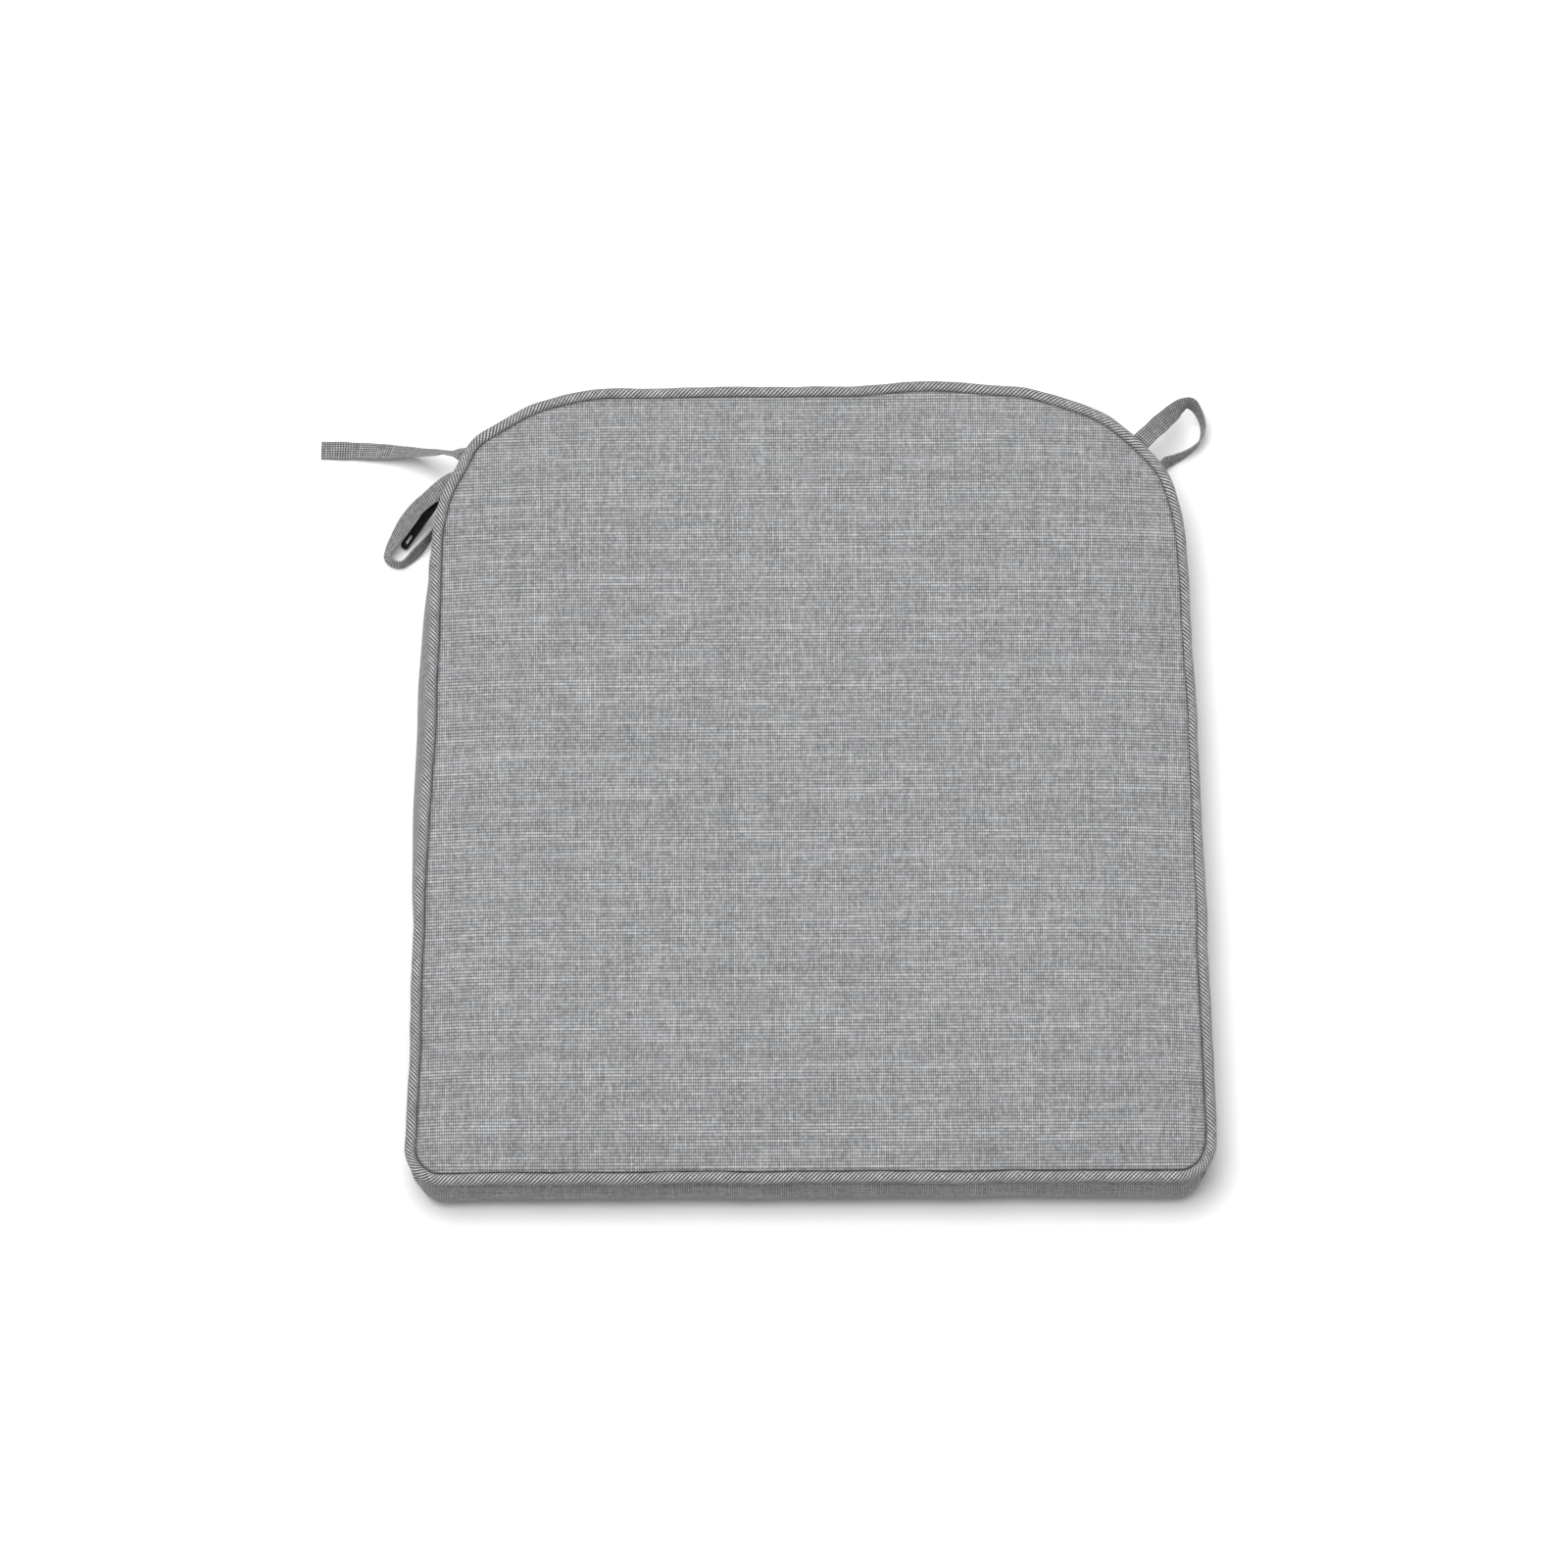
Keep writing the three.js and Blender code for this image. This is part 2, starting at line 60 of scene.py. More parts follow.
def add_camera():
    """A long lens, high above the pad and a little to the front of it."""
    data = bpy.data.cameras.new("camera")
    data.lens = CAMERA_LENS
    data.sensor_width = CAMERA_SENSOR
    data.clip_end = 50
    camera = bpy.data.objects.new("camera", data)
    bpy.context.scene.collection.objects.link(camera)
    back = Vector((0, -math.cos(CAMERA_ELEVATION), math.sin(CAMERA_ELEVATION)))
    upward = Vector((0, math.sin(CAMERA_ELEVATION), math.cos(CAMERA_ELEVATION)))
    target = Vector((CAMERA_ASIDE, 0, CAMERA_HEIGHT)) + upward * CAMERA_ALONG
    turn = (-back).to_track_quat("-Z", "Y").to_matrix() @ Matrix.Rotation(CAMERA_ROLL, 3, "Z")
    camera.location = target + back * CAMERA_DISTANCE
    camera.rotation_euler = turn.to_euler()
    bpy.context.scene.camera = camera


add_camera()

# ---- mesh helpers


def add_mesh(name, points, faces, corner_uv, material):
    """A smooth mesh object, its points in metres. corner_uv is the place on the cloth, in millimetres,
    of each corner of each face."""
    mesh = bpy.data.meshes.new(name)
    mesh.from_pydata(np.asarray(points, float).tolist(), [], [list(map(int, f)) for f in faces])
    mesh.polygons.foreach_set("use_smooth", [True] * len(mesh.polygons))
    layer = mesh.uv_layers.new(name="weave")
    layer.data.foreach_set("uv", np.asarray(corner_uv, np.float32).ravel())
    mesh.materials.append(material)
    mesh.update()
    obj = bpy.data.objects.new(name, mesh)
    bpy.context.scene.collection.objects.link(obj)
    return obj


def sweep(rings, u, v, closed, capped):
    """Points, faces and corner UVs of rings of points swept in a row.
    closed joins the last ring to the first; capped closes both ends with fans."""
    rings = np.asarray(rings, float)
    count, sides = rings.shape[:2]
    points = rings.reshape(-1, 3)
    faces = []
    uvs = []
    for i in range(count if closed else count - 1):
        j = (i + 1) % count
        for k in range(sides):
            n = (k + 1) % sides
            faces.append((i * sides + k, i * sides + n, j * sides + n, j * sides + k))
            uvs += [(u[i], v[k]), (u[i], v[k + 1]), (u[i + 1], v[k + 1]), (u[i + 1], v[k])]
    if capped:
        for ring, order in ((0, -1), (count - 1, 1)):
            centre = len(points)
            points = np.vstack([points, rings[ring].mean(0)])
            for k in range(sides):
                pair = [ring * sides + k, ring * sides + (k + 1) % sides][::order]
                faces.append((*pair, centre))
                uvs += [(u[ring], v[k]), (u[ring], v[k + 1]), (u[ring], v[k])]
    return points, faces, uvs


def grid_faces(rows, columns):
    """Quads of a grid of points that are numbered along each row in turn."""
    faces = []
    for r in range(rows - 1):
        for k in range(columns - 1):
            near = r * columns + k
            faces.append((near, near + 1, near + columns + 1, near + columns))
    return np.array(faces)


def unit(vectors):
    """Rows of vectors, each made one long."""
    return vectors / np.linalg.norm(vectors, axis=1)[:, None]


def lengths_along(points):
    """The distance to each point of a line from its first."""
    steps = np.linalg.norm(np.diff(points, axis=0), axis=1)
    return np.concatenate([[0], np.cumsum(steps)])


def outward(obj):
    """Turns the faces of a closed mesh to point out."""
    work = bmesh.new()
    work.from_mesh(obj.data)
    bmesh.ops.recalc_face_normals(work, faces=work.faces)
    work.to_mesh(obj.data)
    work.free()
    return obj


def thicken(obj, thickness, subdivided=False):
    """Cloth thickness in millimetres, inwards from the outer face, and then one subdivision if wanted."""
    solidify = obj.modifiers.new("thickness", "SOLIDIFY")
    solidify.thickness = thickness * MM
    solidify.offset = -1
    if subdivided:
        subdivide = obj.modifiers.new("subdivide", "SUBSURF")
        subdivide.levels = subdivide.render_levels = 1
        subdivide.uv_smooth = "PRESERVE_BOUNDARIES"


def attach(obj, node):
    """The piece rides on the cushion and stands for a CAD node, which it hides."""
    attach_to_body(obj, "cushion")
    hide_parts(node)


# ---- node helpers


class Shader:
    """A material with one Principled shader, and short ways to add nodes to it."""

    def __init__(self, name, **constants):
        self.material = bpy.data.materials.new(name)
        self.material.use_nodes = True
        self.tree = self.material.node_tree
        self.tree.nodes.clear()
        self.shader = self.tree.nodes.new("ShaderNodeBsdfPrincipled")
        output = self.tree.nodes.new("ShaderNodeOutputMaterial")
        self.link(self.shader.outputs[0], output.inputs["Surface"])
        for socket, value in constants.items():
            self.shader.inputs[socket.replace("_", " ")].default_value = value

    def link(self, source, target):
        self.tree.links.new(source, target)

    def put(self, node, socket, value):
        """Gives a socket a value, or a link from another node's output."""
        if isinstance(value, bpy.types.NodeSocket):
            self.link(value, node.inputs[socket])
        else:
            node.inputs[socket].default_value = value

    def math(self, operation, *values):
        node = self.tree.nodes.new("ShaderNodeMath")
        node.operation = operation
        for i, value in enumerate(values):
            self.put(node, i, value)
        return node.outputs[0]

    def ramp(self, value, low, high, to_low=0.0, to_high=1.0):
        """A smooth step of value from low to high."""
        node = self.tree.nodes.new("ShaderNodeMapRange")
        node.interpolation_type = "SMOOTHSTEP"
        for socket, given in zip(range(5), (value, low, high, to_low, to_high)):
            self.put(node, socket, given)
        return node.outputs[0]

    def uv(self):
        """The place on the cloth, in millimetres."""
        node = self.tree.nodes.new("ShaderNodeUVMap")
        node.uv_map = "weave"
        split = self.tree.nodes.new("ShaderNodeSeparateXYZ")
        self.link(node.outputs[0], split.inputs[0])
        return split.outputs[0], split.outputs[1]

    def attribute(self, name):
        """A value stored on the mesh, or nought on a mesh without it."""
        node = self.tree.nodes.new("ShaderNodeAttribute")
        node.attribute_name = name
        return node.outputs["Fac"]

    def place(self, scale=1.0):
        """Object coordinates in millimetres, times scale."""
        node = self.tree.nodes.new("ShaderNodeTexCoord")
        scaled = self.tree.nodes.new("ShaderNodeVectorMath")
        scaled.operation = "SCALE"
        self.link(node.outputs["Object"], scaled.inputs[0])
        scaled.inputs["Scale"].default_value = 1000 * scale
        return scaled.outputs[0]

    def vector(self, x, y, z=0.0):
        node = self.tree.nodes.new("ShaderNodeCombineXYZ")
        for i, value in enumerate((x, y, z)):
            self.put(node, i, value)
        return node.outputs[0]

    def noise(self, vector, detail, roughness=0.5):
        node = self.tree.nodes.new("ShaderNodeTexNoise")
        self.put(node, "Vector", vector)
        node.inputs["Scale"].default_value = 1
        node.inputs["Detail"].default_value = detail
        node.inputs["Roughness"].default_value = roughness
        return node.outputs[0]

    def white(self, vector):
        """An even random value for each whole-numbered vector."""
        node = self.tree.nodes.new("ShaderNodeTexWhiteNoise")
        self.put(node, "Vector", vector)
        return node.outputs[0]

    def mix(self, factor, a, b):
        node = self.tree.nodes.new("ShaderNodeMix")
        node.data_type = "RGBA"
        for socket, given in ((0, factor), (6, a), (7, b)):
            self.put(node, socket, given)
        return node.outputs[2]

    def shade(self, colour, factor):
        """A colour times a factor."""
        node = self.tree.nodes.new("ShaderNodeVectorMath")
        node.operation = "SCALE"
        self.put(node, 0, colour)
        self.put(node, "Scale", factor)
        return node.outputs[0]

    def bump(self, height, distance, strength):
        """Relief from a height; distance is how deep a height of one is, in millimetres."""
        node = self.tree.nodes.new("ShaderNodeBump")
        node.inputs["Strength"].default_value = strength
        node.inputs["Distance"].default_value = distance * MM
        self.put(node, "Height", height)
        self.link(node.outputs[0], self.shader.inputs["Normal"])

    def set(self, socket, value):
        self.put(self.shader, socket, value)


# ---- cloth materials


def woven(name, tone, warp=1.26, weft=1.76, turn=0.0, contrast=1.0, columns=1.0, heathered=1.0, seed=0.0,
          rows_first=True):
    """A heathered weave in rows and columns. tone is its mean reflectance; warp and weft are the
    thread pitches in millimetres; turn is the bias angle in degrees; contrast scales the light and
    shade painted for the relief of the weave, columns how much of it the columns have, and heathered
    the light and dark threads; seed picks them. rows_first lays the rows along u, and otherwise they lie
    along v."""
    m = Shader(name, Roughness=0.88, Sheen_Weight=0.12, Sheen_Roughness=0.45, Specular_IOR_Level=0.25)
    u, v = m.uv()
    if not rows_first:
        u, v = v, u
    if turn:
        c = math.cos(math.radians(turn))
        s = math.sin(math.radians(turn))
        along = m.math("ADD", m.math("MULTIPLY", u, c), m.math("MULTIPLY", v, s))
        v = m.math("SUBTRACT", m.math("MULTIPLY", v, c), m.math("MULTIPLY", u, s))
        u = along

    def thread(place, pitch):
        """How near a place is to the middle of its thread, from 0 to 1, and the thread's number."""
        position = m.math("DIVIDE", place, pitch)
        wave = m.math("COSINE", m.math("MULTIPLY", position, 2 * math.pi))
        return m.math("MULTIPLY_ADD", wave, 0.5, 0.5), m.math("ROUND", position)

    def about(value, middle, swing):
        """value minus middle, times swing."""
        return m.math("MULTIPLY", m.math("SUBTRACT", value, middle), swing)

    def heather(along, number, length, swing, streak, salt):
        """The lightness of one direction's threads: each has its own tone, drifts along its
        length, and turns light for a stretch here and there."""
        own = about(m.white(m.vector(number, salt)), 0.5, 0.35 * swing)
        apart = m.math("MULTIPLY", number, 7.37)
        wander = m.noise(m.vector(m.math("DIVIDE", along, length), apart, salt), 3, 0.6)
        patch = m.noise(m.vector(m.math("DIVIDE", along, 0.8 * length), apart, salt + 9), 1)
        stretch = m.ramp(patch, 0.57, 0.6, 0, streak)
        return m.math("ADD", m.math("ADD", own, about(wander, 0.52, swing)), stretch)

    def crowned(light, wave):
        """A thread's lightness, strongest along its middle: painted light on the thread's round crest and
        painted shade down its sides.
        """
        return m.math("MULTIPLY", light, m.math("MULTIPLY_ADD", wave, 0.9, 0.2))

    # The threads' own tones, a fleck at each crossing, and the grid of the weave: painted light on each
    # thread and painted shade between the threads.
    row_wave, row_number = thread(v, weft)
    column_wave, column_number = thread(u, warp)
    weft_light = heather(u, row_number, 55.0, 0.5 * heathered, 0.24 * heathered, seed + 3.1)
    warp_light = heather(v, column_number, 16.0, 0.5 * heathered, 0.2 * heathered, seed + 8.6)
    threads = m.math("ADD", crowned(weft_light, row_wave), crowned(warp_light, column_wave))
    fleck = about(m.white(m.vector(column_number, row_number, seed)), 0.5, 0.4 * heathered)
    # The columns' share of the painted light and shade of the weave.
    column_painted_shading = 0.66 * contrast * columns
    grid = m.math("ADD", about(row_wave, 0.5, 0.62 * contrast), about(column_wave, 0.5, column_painted_shading))
    light = m.math("ADD", m.math("ADD", 0.97, threads), m.math("ADD", fleck, grid))

    # Painted shade between the threads, faintly uneven over the whole pad, and painted shade down in the
    # seams.
    raised = m.math("MAXIMUM", row_wave, m.math("MULTIPLY", column_wave, columns))
    light = m.math("MULTIPLY", light, m.ramp(raised, 0.0, 0.5, 1 - 0.4 * contrast, 1.0))
    broad = m.noise(m.place(0.012), 3)
    light = m.math("MULTIPLY", light, m.math("MULTIPLY_ADD", broad, 0.08, 0.96))
    light = m.math("MAXIMUM", light, 0.12)
    # Painted shade down in the seams, stored on the mesh.
    light = m.math("MULTIPLY", light, m.math("SUBTRACT", 1.0, m.attribute("painted_seam_shade")))

    # Cool and warm greys drift through the yarn.
    yarn_place = m.vector(m.math("DIVIDE", u, 22.0), m.math("MULTIPLY", row_number, 1.7), seed + 5)
    hue = m.noise(yarn_place, 2)
    cool = (tone * 0.985, tone * 1.003, tone * 1.04, 1)
    warm = (tone, tone, tone * 0.99, 1)
    m.set("Base Color", m.shade(m.mix(m.ramp(hue, 0.35, 0.65), cool, warm), light))

    fibres = m.noise(m.vector(m.math("MULTIPLY", u, 2.2), m.math("MULTIPLY", v, 2.2), seed), 2)
    height = m.math("ADD", m.math("POWER", raised, 0.5), m.math("MULTIPLY", fibres, 0.3))
    m.bump(height, 0.2, 0.7)
    return m.material


cover_top_cloth = woven("cover_top_cloth", 0.255)
# The boxing's cloth is darker than the panels': painted shade for the upright sides, which the light from
# above reaches less.
shaded_side_cloth = woven("shaded_side_cloth", 0.212, contrast=0.85, seed=21)
cover_under_cloth = woven("cover_under_cloth", 0.255, seed=43)
piping_cloth = woven("piping_cloth", 0.27, warp=1.6, weft=1.7, turn=47, contrast=1.9, columns=0.2,
                     heathered=0.8, seed=12)
tie_cloth = woven("tie_cloth", 0.195, warp=1.4, weft=1.5, contrast=1.6, seed=67, rows_first=False)


def grey(tone):
    """A neutral colour of one tone."""
    return (tone, tone, tone, 1)


def enamel(name, colour, roughness, wear):
    """Moulded or coated: a fine orange-peel bump, and duller patches, wear times paler."""
    m = Shader(name, Specular_IOR_Level=0.25, Coat_Weight=0.1, Coat_Roughness=0.3)
    patches = m.noise(m.place(0.35), 3, 0.6)
    m.set("Roughness", m.ramp(patches, 0.35, 0.7, roughness * 0.75, roughness * 1.35))
    red, green, blue = colour
    worn = (red * wear, green * wear, blue * wear, 1)
    m.set("Base Color", m.mix(m.ramp(patches, 0.55, 0.75), (*colour, 1), worn))
    m.bump(m.noise(m.place(6.0), 2), 0.02, 0.5)
    return m.material


def fibre(name, tone, size):
    """Matted soft fibre, or open-cell foam at a small size of clump, in millimetres."""
    m = Shader(name, Roughness=0.95, Sheen_Weight=0.3)
    clumps = m.noise(m.place(1 / size), 5, 0.65)
    # The hollows between clumps are darker, painted shade, and a little warmer; the raised clumps take the
    # full tone.
    hollow = (tone * 0.8, tone * 0.78, tone * 0.72, 1)
    raised = (tone, tone, tone * 0.97, 1)
    m.set("Base Color", m.mix(clumps, hollow, raised))
    m.bump(clumps, size * 0.3, 0.8)
    return m.material


def tape_weave(name, tone):
    """Herringbone woven tape, zigzagging every 3 mm of height."""
    m = Shader(name, Roughness=0.8, Sheen_Weight=0.2)
    split = m.tree.nodes.new("ShaderNodeSeparateXYZ")
    m.link(m.place(), split.inputs[0])
    x, y, z = split.outputs
    around = m.math("ADD", x, y)
    zigzag = m.math("ABSOLUTE", m.math("SUBTRACT", m.math("FRACT", m.math("DIVIDE", z, 3.0)), 0.5))
    slanted = m.math("ADD", around, m.math("MULTIPLY", zigzag, 4.0))
    rib = m.math("SINE", m.math("MULTIPLY", slanted, 7.0))
    # The ribs' crests are painted lighter and their grooves darker: painted light and shade of the weave's
    # relief.
    m.set("Base Color", m.mix(m.ramp(rib, -1, 1), grey(tone * 0.6), grey(tone * 1.3)))
    m.bump(rib, 0.1, 0.7)
    return m.material


def satin(name, pitch):
    """Woven satin label cloth with fine ribs across it, pitch millimetres apart."""
    m = Shader(name, Roughness=0.5, Sheen_Weight=0.3)
    rib = m.math("SINE", m.math("MULTIPLY", m.uv()[1], 2 * math.pi / pitch))
    # The ribs' crests are painted lighter and their grooves darker: painted light and shade of the ribs.
    m.set("Base Color", m.mix(m.ramp(rib, -1, 1), (0.7, 0.69, 0.66, 1), (0.86, 0.86, 0.84, 1)))
    m.bump(rib, 0.03, 0.5)
    return m.material


pull_enamel = enamel("pull_enamel", (0.012, 0.012, 0.013), 0.34, 2.2)
slider_enamel = enamel("slider_enamel", (0.02, 0.02, 0.022), 0.32, 2.5)
coil_nylon = enamel("coil_nylon", (0.05, 0.051, 0.054), 0.4, 1.5)
tape_cloth = tape_weave("tape_cloth", 0.06)
foam_cells = fibre("foam_cells", 0.72, 0.9)
wadding_fibre = fibre("wadding_fibre", 0.85, 2.4)
filler_fibre = fibre("filler_fibre", 0.8, 0.7)
label_satin = satin("label_satin", 0.35)

# ---- ties

TIE_WIDTH = 10.6
TIE_THICKNESS = 1.4
TIE_ROWS = 110
TIE_LOWEST = 0.1

# Each point is [x, y, z, turn]: turn is 0 where the strip lies flat and 90 where it stands on edge.
tie_routes = {
    "tie_left_straight": [
        [-192.4, 192.1, 40.8, 0], [-194.8, 194, 40.4, 18], [-198.2, 195.6, 38.2, 44],
        [-203.4, 196.5, 34.6, 66], [-208, 197.6, 30.2, 56], [-214, 199.4, 24.6, 48],
        [-222.8, 202.1, 16.2, 45], [-231.6, 204.2, 9.8, 33], [-240.5, 205.7, 5.6, 22],
        [-252, 206.9, 3.2, 15], [-265, 207.7, 1.7, 7], [-278, 208.1, 1, 0],
    ],
    "tie_left_loop": [
        [-196.2, 185.4, 36.6, 80], [-201.4, 182.2, 36.4, 56], [-206.8, 177.6, 34.8, 36],
        [-213.4, 171.9, 31.4, 26], [-222.1, 165.3, 27, 26], [-228.7, 158.8, 20.5, 26],
        [-234.1, 152.5, 14, 36], [-238.3, 146.9, 9.2, 60], [-239.3, 142.6, 7.2, 70],
        [-236.4, 139.2, 6.4, 82], [-231.6, 138.3, 6.2, 88], [-227.3, 141, 6.3, 82],
        [-223.2, 144.9, 7, 74], [-218.7, 149.6, 8.8, 76], [-213.8, 155.6, 11.8, 86],
        [-209.3, 161, 13.4, 90],
    ],
    "tie_right_loop": [
        [188.4, 196.2, 41, 0], [191.4, 199.4, 41, 2], [197.4, 205.9, 38.2, 12], [203.2, 212.2, 34, 20],
        [210, 219.6, 28.4, 36], [215.4, 224.9, 23.8, 60], [220.6, 226.8, 19.4, 72],
        [224.6, 224.2, 15.4, 78], [227.2, 219.4, 12, 79], [227.8, 214, 9.2, 82], [226, 208.7, 7.4, 85],
        [222, 204.4, 6.5, 89], [216.9, 201, 6.4, 94], [211.2, 198, 7.2, 102], [205.8, 194.8, 9.2, 112],
        [201.8, 189, 12, 100], [200.6, 181.4, 13.4, 90],
    ],
}

REAR_RADIUS = 100.0
REAR_CENTRE_X = 115.5
REAR_CENTRE_Y = 131.0

# The fourth tie lies against the boxing behind the pad: [degrees, z] round the right rear corner, and
# then [x, z] along the straight rear edge.
HANGING_INSET = 2.5
hanging_bend = [[50, 37.4], [53.5, 31], [59, 24.2], [66.5, 18.6], [75, 15.2], [84, 13.8]]
hanging_end = [[103, 13.4], [91, 13.4]]


def hanging_route():
    """The fourth tie's route. It stands on edge all the way."""
    radius = REAR_RADIUS - HANGING_INSET
    route = []
    for degrees, z in hanging_bend:
        angle = math.radians(degrees)
        x = REAR_CENTRE_X + radius * math.cos(angle)
        y = REAR_CENTRE_Y + radius * math.sin(angle)
        route.append([x, y, z, 90])
    for x, z in hanging_end:
        route.append([x, REAR_CENTRE_Y + radius, z, 90])
    return route


tie_routes["tie_right_hanging"] = hanging_route()


def blend(a, b, start, end, at):
    """The point reached at a time, going from a at start to b at end."""
    return (end - at) / (end - start) * a + (at - start) / (end - start) * b


def centripetal(points, count):
    """Points on the centripetal Catmull-Rom curve through the given ones, evenly timed."""
    points = np.asarray(points, float)
    ends = [2 * points[0] - points[1], *points, 2 * points[-1] - points[-2]]
    spans = len(points) - 1
    out = []
    for i in range(count):
        t = i / (count - 1) * spans
        low = min(int(t), spans - 1)
        p0, p1, p2, p3 = ends[low : low + 4]
        t0, t1 = 0.0, np.linalg.norm(p1 - p0) ** 0.5
        t2 = t1 + np.linalg.norm(p2 - p1) ** 0.5
        t3 = t2 + np.linalg.norm(p3 - p2) ** 0.5
        at = t1 + (t2 - t1) * (t - low)
        a1 = blend(p0, p1, t0, t1, at)
        a2 = blend(p1, p2, t1, t2, at)
        a3 = blend(p2, p3, t2, t3, at)
        b1 = blend(a1, a2, t0, t2, at)
        b2 = blend(a2, a3, t1, t3, at)
        out.append(blend(b1, b2, t1, t2, at))
    return np.array(out)


def tie_section(phase):
    """A folded strip's section: rounded edges, a stitched groove near one, and soft faces."""
    half = TIE_WIDTH / 2
    thick = TIE_THICKNESS / 2
    across = np.array([1.0, 0.93, 0.8, 0.7, 0.45, 0.15, -0.2, -0.55, -0.85, -0.97, -1.0])
    depth = np.array([0.35, 0.85, 0.6, 0.85, 0.95, 0.9, 0.92, 0.97, 0.95, 0.7, 0.3])
    soft = 1 + 0.12 * np.sin(phase + across * 2.0)
    upper = np.stack([across * half, depth * soft * thick], 1)
    lower = np.stack([across[::-1] * half, -depth[::-1] * (2 - soft[::-1]) * thick], 1)
    return np.vstack([upper, lower])


def add_tie(name, route):
    """A tie along its route. Its width wavers a little, and it never goes through the floor."""
    route = np.array(route, float)
    line = centripetal(route[:, :3], TIE_ROWS)
    along = unit(np.gradient(line, axis=0))
    row_at = np.linspace(0, len(route) - 1, TIE_ROWS)
    turn = np.radians(np.interp(row_at, range(len(route)), route[:, 3]))
    level = unit(np.stack([-along[:, 1], along[:, 0], 0 * along[:, 0]], 1))
    upright = np.cross(along, level)
    across = level * np.cos(turn)[:, None] + upright * np.sin(turn)[:, None]
    through = np.cross(along, across)
    distance = lengths_along(line)
    rings = []
    for i in range(TIE_ROWS):
        section = tie_section(distance[i] / 9.0)
        wide = 1 + 0.03 * math.sin(distance[i] / 2.7) * math.sin(distance[i] / 11)
        rings.append(line[i] + across[i] * section[:, :1] * wide + through[i] * section[:, 1:])
    section = tie_section(0.0)
    around = lengths_along(np.vstack([section, section[:1]]))
    points, faces, uvs = sweep(rings, distance, around, closed=False, capped=True)
    points[:, 2] = np.maximum(points[:, 2], TIE_LOWEST)
    obj = outward(add_mesh(name + "_strip", points * MM, faces, uvs, tie_cloth))
    attach(obj, name)


for tie_name, tie_route in tie_routes.items():
    add_tie(tie_name, tie_route)

# ---- outline

piping_low, piping_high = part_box("top_piping_cover")
DEPTH = (piping_high.y - piping_low.y) / MM
HALF_WIDTH = piping_high.x / MM

# Corner radii in millimetres, and degrees: how far each side leans in at its ends, and where the zip
# starts round the rear corner.
FRONT_RADIUS = 22.0
FRONT_TAPER = 1.6
REAR_TAPER = 2.6
ZIP_START = 12.0
ZIP_HEIGHT = 25.0

PIPING_RADIUS = 3.05
PIPING_TOP = 46.0
PIPING_BOTTOM = 4.0

# The top panel meets the piping this many degrees round it. On the right side it rolls this many
# degrees further over it, which lets the edge down by this many millimetres and takes this share off
# the rise of the panel's margin.
ROLL_INSIDE = 170
ROLL_OVER = 42
ROLL_DROP = 1.1
ROLL_FLATTENS = 0.45

# Steps along each stretch, counter-clockwise from the middle of the left front corner.
CORNER_STEPS = 8
FRONT_STEPS = 60
SIDE_STEPS = 46
ZIP_END_STEPS = 5
ZIP_ARC_STEPS = 19
REAR_STEPS = 28
ACROSS = 2 * CORNER_STEPS + FRONT_STEPS
ALONG = CORNER_STEPS + SIDE_STEPS + ZIP_END_STEPS + ZIP_ARC_STEPS
STATIONS = 2 * (ACROSS + ALONG)
PATCH_INNER = (ACROSS - 1) * (ALONG - 1)
ZIP_RIGHT = ACROSS + CORNER_STEPS + SIDE_STEPS + ZIP_END_STEPS
ZIP_LEFT = ACROSS + ALONG + ACROSS + ZIP_ARC_STEPS


def arc_run(cx, cy, radius, start, end, steps):
    """Stations along an arc, without its last point."""
    angle = np.radians(start + (end - start) * np.arange(steps) / steps)
    nx, ny = np.cos(angle), np.sin(angle)
    return np.stack([cx + radius * nx, cy + radius * ny, nx, ny], 1)


def bow_run(start, end, steps):
    """The gentle curve between two stations, without its last point."""
    a, b = np.array(start[:2]), np.array(end[:2])
    reach = np.linalg.norm(b - a) / 3
    p1 = a + reach * np.array([-start[3], start[2]])
    p2 = b - reach * np.array([-end[3], end[2]])
    t = (np.arange(steps) / steps)[:, None]
    place = (1 - t) ** 3 * a + 3 * (1 - t) ** 2 * t * p1 + 3 * (1 - t) * t * t * p2 + t**3 * b
    slope = (1 - t) ** 2 * (p1 - a) + 2 * (1 - t) * t * (p2 - p1) + t * t * (b - p2)
    slope /= np.linalg.norm(slope, axis=1)[:, None]
    return np.hstack([place, slope[:, 1:], -slope[:, :1]])


